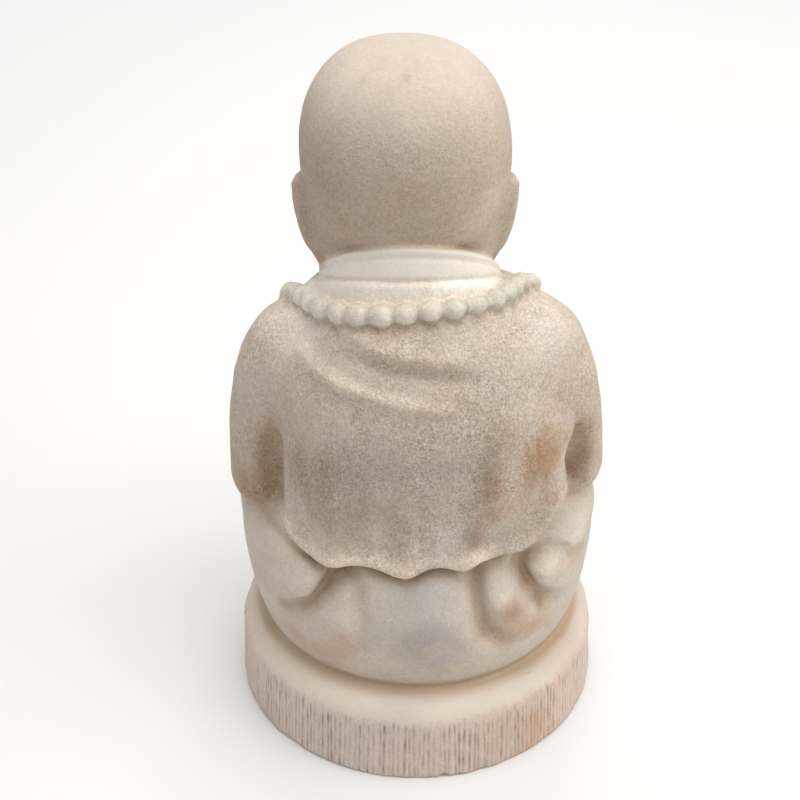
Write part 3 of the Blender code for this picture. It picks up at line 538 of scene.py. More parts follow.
def design(v, fine=True):
    """Distance, near the surface, to the whole casting; v is n by 3 in millimetres."""
    p = tuple(np.ascontiguousarray(v[:, i], dtype=np.float64) for i in range(3))
    n = len(v)
    d = np.full(n, 60.0)
    i = near(p, (-200, -200, 110), (200, 200, 420))
    if len(i):
        q = part_of(p, i)
        d[i] = arms(q, jacket(q), arm_blend(q[2]))
    d = add(d, p, (-200, -200, 0), (200, 200, 230), robe, 3.0)
    d = add(d, p, (-100, -100, 280), (110, 100, 430), collar, 2.5)
    i = near(p, (-100, -130, 290), (120, 90, 530))
    if len(i):
        q = part_of(p, i)
        h = np.full(len(i), 60.0)
        f = near(q, (-200, -200, 310), (200, 200, 600))
        if len(f):
            h[f] = head(part_of(q, f))
        f = near(q, (-60, -200, 325), (80, -45, 460))
        if len(f):
            h[f] = face(part_of(q, f), fine)
        f = near(q, (-90, -60, 315), (110, 30, 425))
        if len(f):
            h[f] = smin(h[f], ears(part_of(q, f)), 3.0 + 8.0 * step(q[1][f], -22, -6))
        neck = cap(q, (7, -8, 330), (8, -16, 366), 42, 42)
        d[i] = smin(d[i], smin(h, neck, 6), 2.2)
    d = add(d, p, (-75, -140, 90), (75, -60, 175), hands, 1.5)
    d = add(d, p, (-200, -200, -40), (200, 200, 90), plinth, 5.0)
    beads = kept("beads", bead_centres)
    i = near(p, (-120, -120, 220), (120, 90, 375))
    if len(i):
        q = part_of(p, i)
        b = np.full(len(i), 30.0)
        for j, c in enumerate(beads):
            r = BEAD_R + 0.45 * np.sin(j * 2.4) + 0.5 * np.clip(c[0] / 60, -1, 1)
            f = near(q, c - 22, c + 22)
            ball = np.sqrt((q[0][f] - c[0]) ** 2 + (q[1][f] - c[1]) ** 2 + (q[2][f] - c[2]) ** 2) - r
            # worn together along the back's left, apart elsewhere
            b[f] = smin(b[f], ball, 1.2 + 4.3 * step(c[0], -25, 12) * step(c[1], -5, 25))
            after = beads[(j + 1) % len(beads)]
            b[f] = smin(b[f], cap(part_of(q, f), c, after, 4.2), 2.0)
        d[i] = smin(d[i], b, 3.0)
    return d


# ---------------------------------------------------------------- fine surface
CELL = 1.25
FIGURE_TRIANGLES = 144000
JOIN_R = 120.0                      # the carved plinth edge starts outside this radius
RING_R = 121.6
GROOVES = 227
COLUMNS = GROOVES * 6


def surface_nets(fn, lo, hi, cell, coarse=8, slack=2.7):
    """Skin of the design: cells near the surface, halved down to the finest, one vertex in each cut cell."""
    lo = np.asarray(lo, float)
    n = np.ceil((np.asarray(hi, float) - lo) / (cell * coarse)).astype(np.int64)
    size = cell * coarse
    cells = np.stack(np.meshgrid(*[np.arange(k) for k in n], indexing="ij"), -1).reshape(-1, 3)
    off = np.stack(np.meshgrid([0, 1], [0, 1], [0, 1], indexing="ij"), -1).reshape(-1, 3)
    level = coarse
    while True:
        cells = cells[np.abs(fn(lo + (cells + 0.5) * size)) < size * 0.87 * slack]
        if level == 1:
            break
        level //= 2
        size /= 2
        cells = (cells[:, None, :] * 2 + off).reshape(-1, 3)
    dims = n * coarse + 2

    def key(a):
        return (a[..., 0] * dims[1] + a[..., 1]) * dims[2] + a[..., 2]
    corner = key(cells[:, None, :] + off)
    uniq, back = np.unique(corner.ravel(), return_inverse=True)
    grid = np.stack([uniq // (dims[1] * dims[2]), (uniq // dims[2]) % dims[1], uniq % dims[2]], -1)
    value = fn(lo + grid * cell)[back.reshape(corner.shape)]
    inside = value < 0
    cut = inside.any(1) & ~inside.all(1)
    cells, value, inside = cells[cut], value[cut], inside[cut]
    total, count = np.zeros((len(cells), 3)), np.zeros(len(cells))
    for a, b in ((0, 1), (2, 3), (4, 5), (6, 7), (0, 2), (1, 3), (4, 6), (5, 7), (0, 4), (1, 5), (2, 6), (3, 7)):
        m = inside[:, a] != inside[:, b]
        t = value[m, a] / (value[m, a] - value[m, b])
        total[m] += off[a] + (off[b] - off[a]) * t[:, None]
        count[m] += 1
    verts = lo + (cells + total / count[:, None]) * cell
    keys = key(cells)
    order = np.argsort(keys)
    ranked = keys[order]

    def find(a):
        k = key(a)
        j = np.minimum(np.searchsorted(ranked, k), len(ranked) - 1)
        return order[j], ranked[j] == k
    quads = []
    for ax, j in ((0, 4), (1, 2), (2, 1)):
        m = inside[:, 0] != inside[:, j]
        base, pos = cells[m], inside[m, 0]
        u, v = [k for k in range(3) if k != ax]
        du, dv = np.zeros(3, np.int64), np.zeros(3, np.int64)
        du[u], dv[v] = 1, 1
        ids, ok = [], np.ones(len(base), bool)
        for shift in (0 * du, du, du + dv, dv):
            found, good = find(base - shift)
            ids.append(found)
            ok &= good
        q = np.stack(ids, -1)[ok]
        flip = pos[ok] if ax in (0, 2) else ~pos[ok]
        quads.append(np.where(flip[:, None], q, q[:, ::-1]))
    return verts, np.vstack(quads)


def pulled(v, rounds=1, e=0.25, reach=0.9):
    """The vertices moved onto the surface of the design."""
    for _ in range(rounds):
        d = design(v)
        g = np.stack([(design(v + o) - design(v - o)) / (2 * e) for o in np.eye(3) * e], -1)
        move = -(d / ((g * g).sum(1) + 0.02))[:, None] * g
        size = np.sqrt((move * move).sum(1))
        v = v + move * np.minimum(1.0, reach / np.maximum(size, 1e-9))[:, None]
    return v


def hash3(i, j, k, seed):
    h = np.sin(i * 127.1 + j * 311.7 + k * 74.7 + seed * 19.19) * 43758.5453
    return h - np.floor(h)


def noise(v, scale, seed=0.0):
    """Smooth noise from -1 to 1 with the given grain in millimetres."""
    q = v / scale
    i = np.floor(q)
    f = q - i
    f = f * f * (3 - 2 * f)
    out = 0.0
    for a in (0, 1):
        for b in (0, 1):
            for c in (0, 1):
                w = (f[:, 0] if a else 1 - f[:, 0]) * (f[:, 1] if b else 1 - f[:, 1]) * (f[:, 2] if c else 1 - f[:, 2])
                out = out + w * hash3(i[:, 0] + a, i[:, 1] + b, i[:, 2] + c, seed)
    return out * 2 - 1


def make_mesh(name, verts, faces):
    me = bpy.data.meshes.new(name)
    faces = np.asarray(faces)
    me.vertices.add(len(verts))
    me.vertices.foreach_set("co", np.ascontiguousarray(verts, dtype=np.float32).ravel())
    me.loops.add(faces.size)
    me.loops.foreach_set("vertex_index", faces.astype(np.int32).ravel())
    me.polygons.add(len(faces))
    k = faces.shape[1]
    me.polygons.foreach_set("loop_start", np.arange(0, faces.size, k, dtype=np.int32))
    me.update(calc_edges=True)
    return me


def arrays(me):
    v = np.empty(len(me.vertices) * 3, np.float32)
    me.vertices.foreach_get("co", v)
    me.calc_loop_triangles()
    t = np.empty(len(me.loop_triangles) * 3, np.int32)
    me.loop_triangles.foreach_get("vertices", t)
    return v.reshape(-1, 3).astype(float), t.reshape(-1, 3)


def decimated(verts, faces, triangles):
    me = make_mesh("work", verts, faces)
    ob = bpy.data.objects.new("work", me)
    bpy.context.scene.collection.objects.link(ob)
    mod = ob.modifiers.new("fewer", "DECIMATE")
    mod.ratio = triangles / (len(faces) * (faces.shape[1] - 2))
    ev = ob.evaluated_get(bpy.context.evaluated_depsgraph_get())
    out = arrays(ev.to_mesh())
    ev.to_mesh_clear()
    bpy.data.objects.remove(ob, do_unlink=True)
    bpy.data.meshes.remove(me)
    return out


# ---------------------------------------------------------------- carved edge of the plinth
rng = np.random.default_rng(11)
GROOVE_AT = (np.arange(GROOVES) + rng.uniform(-0.2, 0.2, GROOVES)) / GROOVES
GROOVE_DEPTH = rng.uniform(0.3, 0.95, GROOVES)
GROOVE_WIDE = rng.uniform(0.5, 0.85, GROOVES)
GROOVE_TOP = 50.0 + rng.uniform(-6.0, 3.5, GROOVES)
GROOVE_FOOT = rng.uniform(-6.0, 5.0, GROOVES) * (rng.uniform(0, 1, GROOVES) < 0.35)
GROOVE_LEAN = rng.uniform(-0.032, 0.032, GROOVES)


def groove_depth(turn, z):
    """How deep the raked grooves cut at a fraction of a turn and a height."""
    out = np.zeros(np.broadcast(turn, z).shape)
    k = np.floor(turn * GROOVES).astype(int)
    for step_k in (-2, -1, 0, 1, 2):
        i = (k + step_k) % GROOVES
        gap = turn - GROOVE_AT[i]
        gap = (gap + 0.5) % 1.0 - 0.5
        gap = gap * 2 * np.pi * PLINTH_R + GROOVE_LEAN[i] * (z - 25.0)
        up = step(GROOVE_TOP[i] - z, -1.0, 5.0) * step(z - GROOVE_FOOT[i], -2.0, 2.0)
        worn = 0.70 + 0.38 * np.sin(z * (0.16 + 0.2 * GROOVE_WIDE[i]) + GROOVE_DEPTH[i] * 60.0)
        out = np.maximum(out, GROOVE_DEPTH[i] * worn * np.exp(-(gap / GROOVE_WIDE[i]) ** 2) * up)
    return out


def plinth_profile():
    """Radius and height from the joining circle over the rounded edge and down the side."""
    pts = []
    c_r, c_z = PLINTH_R - PLINTH_ROUND, PLINTH_H - PLINTH_ROUND
    for z in (None, 54.6, 52.6, 50.4, 48.4, 46.6, 45.0, 43.2, 41.2, 38.5, 35.0, 29.0, 22.0, 14.0, 6.0, 2.2, 0.5):
        if z is None:
            r = RING_R
            lo, hi = 50.0, 58.0
            for _ in range(40):
                m = 0.5 * (lo + hi)
                if (r + PLINTH_TAPER * m - c_r) ** 2 + (m - c_z) ** 2 < PLINTH_ROUND ** 2:
                    lo = m
                else:
                    hi = m
            z = lo
        else:
            r = c_r + np.sqrt(max(0.0, PLINTH_ROUND ** 2 - max(z - c_z, 0.0) ** 2)) - PLINTH_TAPER * z
        if z < 2.0:
            r -= 0.9
        pts.append((r, z))
    pts.append((pts[-1][0] - 1.4, 0.0))
    return np.array(pts)


def plinth_ring():
    prof = plinth_profile()
    rows = len(prof)
    turn = np.arange(COLUMNS) / COLUMNS
    a = turn * 2 * np.pi
    r = np.repeat(prof[:, :1], COLUMNS, 1)
    z = np.repeat(prof[:, 1:], COLUMNS, 1)
    cut = groove_depth(turn[None, :], z)
    cut[0] = 0
    cut[-1] = 0.3
    p = np.stack([r * np.cos(a), r * np.sin(a), z], -1).reshape(-1, 3)
    rough = (0.55 * noise(p, 26, 3) + 0.35 * noise(p, 9, 4) + 0.22 * noise(p, 3.2, 5)).reshape(rows, COLUMNS)
    fade = step(RING_R + 3.0 - r, 2.6, -3.0)
    r = r - cut + rough * fade
    # small chips along the foot
    for at, wide, deep, tall in ((0.2725, 2.6, 2.4, 4.0), (0.305, 5.0, 1.0, 3.0), (0.13, 6.0, 0.9, 3.0), (0.62, 5.0, 1.4, 4.0), (0.91, 6.0, 1.2, 4.0)):
        gap = ((turn - at + 0.5) % 1.0 - 0.5) * 2 * np.pi * PLINTH_R
        r = r - deep * np.exp(-(gap / wide) ** 2)[None, :] * np.exp(-(z / tall) ** 2)
    p = np.stack([r * np.cos(a), r * np.sin(a), z], -1)
    ids = np.arange(rows * COLUMNS).reshape(rows, COLUMNS)
    nxt = np.roll(ids, -1, 1)
    quads = np.stack([ids[:-1], ids[1:], nxt[1:], nxt[:-1]], -1).reshape(-1, 4)
    tris = np.vstack([quads[:, [0, 1, 2]], quads[:, [0, 2, 3]]])
    # the underside
    centre = len(p.reshape(-1, 3))
    under = np.stack([ids[-1], np.full(COLUMNS, centre), nxt[-1]], -1)
    verts = np.vstack([p.reshape(-1, 3), [(0.0, 0.0, 0.0)]])
    cut_all = np.concatenate([cut.ravel(), [0.0]])
    return verts, np.vstack([tris, under]), ids[0], cut_all


def inside_loop(pts, loop):
    a, b = loop, np.roll(loop, -1, 0)
    x, y = pts[:, :1], pts[:, 1:]
    ya, yb = a[None, :, 1], b[None, :, 1]
    cross = (ya > y) != (yb > y)
    with np.errstate(divide="ignore", invalid="ignore"):
        at = a[None, :, 0] + (y - ya) * (b[None, :, 0] - a[None, :, 0]) / (yb - ya)
    return (cross & (x < at)).sum(1) % 2 == 1


def whole_skin():
    """Figure, joining strip and carved plinth edge as one skin; also how deep each vertex lies in a groove."""
    v, q = surface_nets(design, (-150, -150, 30), (150, 150, 520), CELL)
    v = pulled(v, 1)
    out = (v[:, 2] < 60.5) & (np.hypot(v[:, 0], v[:, 1]) > JOIN_R)
    out |= v[:, 2] < 48
    q = q[~out[q].any(1)]
    used = np.unique(q)
    index = np.full(len(v), -1)
    index[used] = np.arange(len(used))
    v, t = decimated(v[used], index[q], FIGURE_TRIANGLES)
    # find the open rims of the skin and take the longest
    edges = np.sort(np.vstack([t[:, [0, 1]], t[:, [1, 2]], t[:, [2, 0]]]), 1)
    code = edges[:, 0].astype(np.int64) * len(v) + edges[:, 1]
    uniq, first, count = np.unique(code, return_index=True, return_counts=True)
    directed = np.vstack([t[:, [0, 1]], t[:, [1, 2]], t[:, [2, 0]]])
    rim = directed[first[count == 1]]
    after = {}
    for a, b in rim:
        after.setdefault(int(a), []).append(int(b))
    loops = []
    while after:
        start = next(iter(after))
        loop, here = [], start
        while here in after:
            loop.append(here)
            nexts = after[here]
            following = nexts.pop()
            if not nexts:
                del after[here]
            here = following
            if here == start:
                break
        loops.append(loop)
    loops.sort(key=len)
    rim = np.array(loops[-1])
    ring_v, ring_t, top, cut = plinth_ring()
    flat = np.vstack([v[rim, :2], ring_v[top, :2]])
    n, m = len(rim), len(top)
    wires = [(i, (i + 1) % n) for i in range(n)] + [(n + i, n + (i + 1) % m) for i in range(m)]
    res = delaunay_2d_cdt([Vector(p) for p in flat], wires, [], 0, 1e-7, True)
    source = [o[0] for o in res[3]]
    strip = np.array([[source[i] for i in f] for f in res[2]])
    mid = flat[strip].mean(1)
    keep = inside_loop(mid, ring_v[top, :2]) & ~inside_loop(mid, v[rim, :2])
    strip = strip[keep]
    a, b, c = (flat[strip[:, k]] for k in range(3))
    turn = (b[:, 0] - a[:, 0]) * (c[:, 1] - a[:, 1]) - (b[:, 1] - a[:, 1]) * (c[:, 0] - a[:, 0])
    strip = np.where((turn < 0)[:, None], strip[:, ::-1], strip)
    number = np.concatenate([rim, top + len(v)])
    verts = np.vstack([v, ring_v])
    tris = np.vstack([t, ring_t + len(v), number[strip]])
    depth = np.concatenate([np.zeros(len(v)), cut])
    print("figure", len(t), "ring", len(ring_t), "strip", len(strip), "loops", [len(x) for x in loops])
    return verts, tris, depth, len(v)


def normals_of(v, t):
    n = np.cross(v[t[:, 1]] - v[t[:, 0]], v[t[:, 2]] - v[t[:, 0]])
    out = np.zeros_like(v)
    for k in range(3):
        for j in range(3):
            out[:, j] += np.bincount(t[:, k], n[:, j], len(v))
    return out / np.maximum(np.linalg.norm(out, axis=1), 1e-12)[:, None]


# ---------------------------------------------------------------- colour of the casting
def srgb(r, g, b):
    c = np.array((r, g, b)) / 255.0
    return np.where(c <= 0.04045, c / 12.92, ((c + 0.055) / 1.055) ** 2.4)


def regions(v):
    """Soft weights of skin, collar, beads, jacket, lower robe and plinth at each vertex."""
    p = tuple(v.T)
    far = np.full(len(v), 60.0)
    skin = far.copy()
    i = near(p, (-100, -130, 290), (120, 90, 530))
    q = part_of(p, i)
    skin[i] = smin(head(q), ears(q), 3.0)
    f = near(p, (-60, -200, 325), (80, -45, 460))
    skin[f] = np.minimum(skin[f], face(part_of(p, f), False))
    h = near(p, (-75, -140, 90), (75, -60, 175))
    skin[h] = np.minimum(skin[h], hands(part_of(p, h)))
    band = far.copy()
    i = near(p, (-100, -100, 280), (110, 100, 430))
    band[i] = collar(part_of(p, i))
    beads = far.copy()
    for c in KEEP["beads"]:
        f = near(p, c - 14, c + 14)
        beads[f] = np.minimum(beads[f], np.linalg.norm(v[f] - c, axis=1) - BEAD_R)
    cloth = jacket(p)
    cloth = arms(p, cloth, arm_blend(p[2]))
    low = robe(p)
    foot = plinth(p)
    d = np.abs(np.stack([skin, band, beads, cloth, low, foot], -1))
    d = d - d.min(1, keepdims=True)
    w = np.exp(-(d / 1.1))
    return (w / w.sum(1, keepdims=True)).T


# patches: centre x, y, z, radius, tint as a factor on red, green, blue, strength
PATCHES = (
    # brown where rain runs past the arms, beside the ears and down the back
    (114, 18, 176, 31, (0.75, 0.65, 0.55), 0.92), (104, 26, 218, 24, (0.92, 0.85, 0.79), 0.70), (-114, 14, 205, 34, (0.95, 0.86, 0.76), 0.60),
    # painted shade in the groove between the right sleeve and the back
    (-108, 27, 228, 18, (0.88, 0.78, 0.68), 0.70), (-103, 14, 186, 11, (0.66, 0.54, 0.46), 0.85),
    (60, 0, 352, 9, (0.84, 0.64, 0.54), 0.85), (-47, -6, 350, 9, (0.86, 0.68, 0.56), 0.75),
    (-58, 75, 246, 22, (0.82, 0.77, 0.73), 0.85), (-33, 86, 208, 11, (0.80, 0.78, 0.77), 0.80), (-83, 57, 250, 14, (0.86, 0.74, 0.63), 0.75), (-81, 65, 228, 20, (0.84, 0.69, 0.56), 0.95), (-80, 61, 240, 15, (0.88, 0.76, 0.65), 0.80),
    (-69, 74, 210, 16, (0.88, 0.76, 0.66), 0.60), (-85, 60, 198, 13, (0.94, 0.81, 0.75), 0.75),
    (-46, 80, 233, 12, (0.82, 0.72, 0.66), 0.90), (-47, 82, 218, 14, (0.78, 0.68, 0.62), 0.95), (-46, 85, 201, 12, (0.80, 0.70, 0.65), 0.90), (-34, 87, 193, 10, (0.76, 0.76, 0.78), 0.95),
    (-40, 88, 181, 11, (0.74, 0.65, 0.61), 0.90),
    # greyer and darker cloth on the left and in the middle
    (13, 89, 193, 15, (0.83, 0.83, 0.84), 0.90), (12, 90, 178, 9, (0.84, 0.84, 0.85), 0.85), (-37, 87, 186, 12, (0.79, 0.77, 0.76), 0.90), (70, 74, 195, 16, (0.90, 0.89, 0.88), 0.80), (-72, 68, 222, 16, (0.88, 0.84, 0.80), 0.80),
    (-33, 86, 178, 8, (0.84, 0.80, 0.78), 0.80),
    (72, 66, 218, 28, (0.77, 0.74, 0.71), 0.85), (24, 86, 208, 20, (0.84, 0.79, 0.75), 0.85), (54, 80, 190, 24, (0.80, 0.75, 0.71), 0.80),
    # the first of these is painted shade at the edge of the jacket's back by the right sleeve
    (-95, 50, 236, 14, (0.84, 0.74, 0.64), 0.90), (115, 20, 258, 30, (0.93, 0.93, 0.95), 0.60),
    (-53, 73, 264, 22, (0.88, 0.84, 0.80), 0.80), (-115, 18, 250, 26, (0.94, 0.90, 0.86), 0.70), (62, 23, 435, 14, (0.94, 0.93, 0.92), 0.6), (5, 33, 460, 20, (1.04, 1.05, 1.05), 0.6), (9, 44, 424, 17, (0.94, 0.92, 0.90), 0.6),
    (-32, 34, 411, 10, (0.90, 0.87, 0.83), 0.6), (56, 24, 414, 19, (0.93, 0.89, 0.86), 0.6),
    (-4, 80, 286, 11, (0.90, 0.85, 0.78), 0.60), (22, 83, 255, 15, (0.97, 0.98, 0.99), 0.60), (64, 57, 298, 22, (0.99, 1.03, 1.01), 0.70),
    (-23, 72, 304, 10, (0.88, 0.84, 0.76), 0.60),
    # pink and orange blushes
    (88, 29, 300, 20, (1.00, 0.95, 0.92), 0.60), (-86, 50, 196, 12, (1.04, 0.92, 0.86), 0.60), (-90, 40, 268, 24, (1.00, 0.94, 0.90), 0.70),
    (51, 96, 94, 15, (0.98, 0.83, 0.78), 0.90), (88, 64, 84, 16, (1.0, 0.90, 0.83), 0.55), (-111, 40, 126, 12, (1.04, 0.88, 0.80), 0.70),
    (-66, 88, 106, 24, (0.84, 0.71, 0.62), 0.95), (-62, 90, 122, 13, (0.82, 0.72, 0.65), 0.85), (-88, 73, 102, 18, (0.88, 0.76, 0.66), 0.80),
    (-72, 108, 24, 34, (0.92, 0.94, 0.95), 0.80), (83, 71, 80, 16, (0.94, 0.85, 0.80), 0.80), (62, 88, 80, 17, (0.94, 0.82, 0.78), 0.90), (103, 36, 66, 14, (0.92, 0.86, 0.80), 0.60), (75, 73, 117, 14, (0.93, 0.88, 0.84), 0.60), (-44, 98, 108, 8, (0.80, 0.70, 0.62), 0.7), (-83, 70, 115, 9, (0.74, 0.60, 0.48), 0.85), (-94, 60, 86, 14, (1.0, 0.90, 0.80), 0.50),
    # cool grey in the middle of the lower robe
    (-1, 101, 132, 32, (0.80, 0.84, 0.91), 0.92), (-10, 108, 100, 28, (0.80, 0.80, 0.84), 0.90), (-8, 96, 144, 16, (1.05, 1.07, 1.10), 0.7), (24, 106, 110, 16, (0.88, 0.91, 0.96), 0.6), (-46, 98, 128, 12, (0.92, 0.90, 0.88), 0.6),
    # pale rubbed places
    (-18, 90, 186, 14, (1.12, 1.18, 1.26), 0.90), (3, 92, 178, 6, (1.12, 1.13, 1.14), 0.6), (56, 84, 162, 14, (1.10, 1.09, 1.07), 0.6),
    (14, 58, 322, 22, (1.06, 1.06, 1.04), 0.6), (48, 70, 298, 12, (1.07, 1.07, 1.05), 0.5), (82, 26, 309, 36, (1.20, 1.25, 1.30), 0.95), (-40, 30, 400, 24, (1.13, 1.14, 1.15), 0.9), (-66, 74, 141, 9, (1.10, 1.08, 1.05), 0.8),
    (-112, 34, 150, 16, (1.07, 1.13, 1.17), 0.8), (-94, 56, 189, 11, (1.10, 1.13, 1.15), 0.8), (-90, 62, 141, 9, (1.14, 1.13, 1.11), 0.9), (-57, 90, 131, 9, (1.06, 1.05, 1.03), 0.7),
    (100, 52, 146, 20, (1.04, 1.04, 1.03), 0.6), (84, 74, 134, 12, (1.05, 1.04, 1.02), 0.6), (-84, 24, 311, 30, (1.03, 1.06, 1.12), 0.8), (9, 10, 485, 4.0, (0.86, 0.74, 0.70), 0.9), (16, -5, 489, 20, (1.00, 0.98, 0.98), 0.7), (6, 74, 304, 14, (0.94, 0.95, 0.95), 0.8), (-50, 14, 440, 20, (1.05, 1.03, 0.98), 0.7),
    (-102, 59, 57, 26, (0.95, 0.90, 0.87), 0.8), (13, 111, 58, 22, (0.92, 0.92, 0.93), 0.8),
)


def tint(v, n, cut, shut, wide):
    """Colour of each vertex, from where it lies, which way it faces and how shut in it is; from the last two, light and
    shade are partly painted into it.
    """
    skin, band, beads, cloth, low, foot = regions(v)
    x, y, z = v.T
    base = (skin[:, None] * srgb(201, 188, 174) + band[:, None] * srgb(236, 229, 216) + beads[:, None] * srgb(219, 212, 198)
            + cloth[:, None] * srgb(204, 191, 176) + low[:, None] * srgb(207, 196, 182) + foot[:, None] * srgb(220, 208, 193))
    # painted shade: the head is darker and browner below its crown, where light falls off from above, and less so on
    # its right, which the right lamp lights
    nape = skin * (1 - step(z + 7 * noise(v, 24, 61) + 3 * noise(v, 7, 62), 418, 482))
    nape = nape * (1 - 0.45 * step(-x, 10, 62))
    base = base * (1 + (np.array((0.84, 0.80, 0.75)) - 1) * nape[:, None])
    # the yoke between collar and beads, and the top of the plinth, are paler
    yoke = cloth * step(z - (bead_line(x) + 4), -3, 3) * step(y, -20, 5)
    base = base * (1 - yoke[:, None]) + srgb(255, 247, 235) * yoke[:, None]
    side = foot * step(52.0 + 1.6 * noise(v, 2.2, 9) + 1.2 * noise(v, 9, 8) - z, -1.5, 3.0)
    base = base * (1 - side[:, None]) + srgb(219, 203, 191) * side[:, None]
    out = base
    for cx, cy, cz, r, colour, strength in PATCHES:
        d = np.sqrt((x - cx) ** 2 + (y - cy) ** 2 + (z - cz) ** 2)
        d = d + r * (0.30 * noise(v, r * 0.7, cx) + 0.16 * noise(v, r * 0.25, cz))
        w = strength * (1 - step(d, 0.25 * r, 1.15 * r))
        out = out * (1 + (np.array(colour) - 1) * w[:, None])
    # blotches of two sizes
    big = noise(v, 34, 21)
    mid = noise(v, 12, 22)
    small = noise(v, 4.5, 23)
    # the back is palest between the shoulder blades and darkest above its hem
    behind = cloth * step(y, 20, 50)
    lip = bell(z - hem_height(x) - 5.0 - 2.0 * noise(v, 11, 51), 6.5)
    left, right = step(x, 35, 70), step(-x, 42, 56)
    low_band = (0.19 * bell(z - 234, 26) * (1 - 0.6 * left) + 0.05 * bell(z - 195, 20)) * (1 - right) + 0.20 * right * bell(z - 180, 20)
    out = out * (1 + 0.04 * cloth * bell(z - 282, 22) - low_band * behind + 0.27 * behind * lip * (1 - 0.6 * right))[:, None]
    open_air = np.ones(len(v))
    # painted shade in the groove between each sleeve and the back of the jacket, a painted highlight along the panel's
    # rounded edge, and less painted hollow shade there (open_air)
    for s, path in zip((1, -1), RECESS):
        edge = PANEL_EDGE[0] if s > 0 else PANEL_EDGE[1] - 4.5 * bell(z - 217, 17) - 1.8 * bell(z - 208, 18)
        edge = edge + 40 * step(z, 225, 262)
        gap = chain((x, y, z), path, (4.0, 8.0, 10.0, 8.0)) + 2.5 * noise(v, 8, 57)
        recess_shade = cloth * (1 - step(gap, -1.0, 20.0)) * step(s * x - edge, -0.4, 1.4) * step(y, 0, 10)
        out = out * (1 + (np.array((0.76, 0.64, 0.53)) - 1) * ((0.28 if s > 0 else 0.50) * recess_shade)[:, None])
        open_air = open_air - (0.85 if s > 0 else 0.5) * recess_shade
        rim = behind * bell(s * x - edge + 2.5, 3.0) * (1 - step(z, 222, 240))
        out = out * (1 + 0.10 * rim)[:, None]
    # a pale seam of coarse grains down the middle of the back
    seam = behind * bell(x - 1.5 - 1.2 * noise(v, 14, 52), 2.2) * step(z, 168, 182) * (1 - step(z, 252, 272)) * (0.55 + 0.6 * noise(v, 5.0, 53))
    out = out * (1 + 0.22 * np.clip(seam, 0, 1))[:, None]
    # painted light on the ridges of the back's folds and flutes, painted shade in their valleys
    out = out * (1 + 0.027 * np.clip(back_relief(x, z), -3.5, 4.0) * behind)[:, None]
    body = cloth + 0.85 * skin + 1.15 * low + 0.6 * foot + 0.5 * band
    out = out * (1 + body * (0.035 * big + 0.035 * mid + 0.03 * small))[:, None]
    runs = behind * (1 - step(z, 215, 262)) * (noise(np.stack([x / 9, y / 30, z / 75], -1), 1.0, 58) + 0.5 * noise(np.stack([x / 4, y / 12, z / 30], -1), 1.0, 59))
    out = out * (1 + 0.11 * runs)[:, None]
    # wiped lines run round the head; the beads are mottled and greyer on one side
    wiped = skin * (1 - step(z, 455, 490)) * noise(np.stack([x / 11, y / 11, z / 1.7], -1), 1.0, 54)
    out = out * (1 + 0.030 * wiped + beads * (0.07 * noise(v, 4.2, 55) + 0.05 * noise(v, 2.0, 56)))[:, None]
    out = out * (1 + (np.array((0.93, 0.95, 0.94)) - 1) * (beads * step(-x, 5, 35))[:, None])
    warm = np.clip(0.5 * noise(v, 26, 31) + 0.35 * noise(v, 9, 32), 0, 1) * (0.9 * cloth + 0.5 * skin + 0.75 * low)
    out = out * (1 + (np.array((0.93, 0.84, 0.75)) - 1) * warm[:, None])
    # painted shade in hollows, from how shut in each vertex is close by and farther out, and between the beads; an
    # ochre painted shade along the crease at the figure's foot
    hollow = np.clip(shut, 0, 1) * (1 - 0.5 * skin) * open_air
    wide = wide * (1 - 0.5 * skin) * open_air
    hollow = hollow * (1 - 0.35 * (1 - step(z, 66, 84)))
    wide = wide * (1 - 0.55 * (1 - step(z, 62, 84)))
    out = out * (1 + (np.array((0.72, 0.62, 0.50)) - 1) * (hollow ** 1.4)[:, None])
    out = out * (1 + (np.array((0.66, 0.60, 0.52)) - 1) * (np.clip(1.5 * shut - 0.15, 0, 1) * beads)[:, None])
    out = out * (1 + (np.array((0.80, 0.70, 0.58)) - 1) * (np.clip(wide, 0, 1) ** 1.6 * 0.8)[:, None])
    r = np.hypot(x, y + 15) * (y > -200)
    foot_line = np.exp(-((z - 61) / 5.0) ** 2) * (hollow > 0.03)
    ochre_crease_shade = np.clip(foot_line * (0.8 + 0.5 * step(-x, -10, 80)), 0, 1)
    out = out * (1 + (np.array((0.93, 0.74, 0.50)) - 1) * (ochre_crease_shade * 0.5)[:, None])
    # the raked grooves are darker the deeper they cut; the right of the side is orange
    out = out * (1 + (np.array((0.50, 0.41, 0.35)) - 1) * np.clip(cut / 0.9, 0, 1)[:, None] * 0.9)
    turn = np.degrees(np.arctan2(y, x))
    orange = side * np.exp(-((turn - 128) / 16) ** 2) * (0.75 + 0.5 * noise(v, 14, 41))
    out = out * (1 + (np.array((0.95, 0.81, 0.69)) - 1) * np.clip(orange, 0, 1)[:, None])
    # painted shade in the creases of the lower robe, painted light on its swellings
    relief = lower_relief(x, z) * step(y, -10, 30) * low
    out = out * (1 + (np.array((0.76, 0.67, 0.57)) - 1) * np.clip(-relief / 9.0, 0, 1)[:, None])
    out = out * (1 + 0.09 * np.clip(relief / 6.0, 0, 1))[:, None]
    # painted shadow: a dark brown line on the lower robe just under the jacket's hem
    line = low * step(y, 10, 35) * bell(z - hem_height(x) + 3.0, 2.6) * (0.8 + 0.3 * noise(v, 9, 60))
    out = out * (1 + (np.array((0.70, 0.60, 0.49)) - 1) * np.clip(0.75 * line, 0, 1)[:, None])
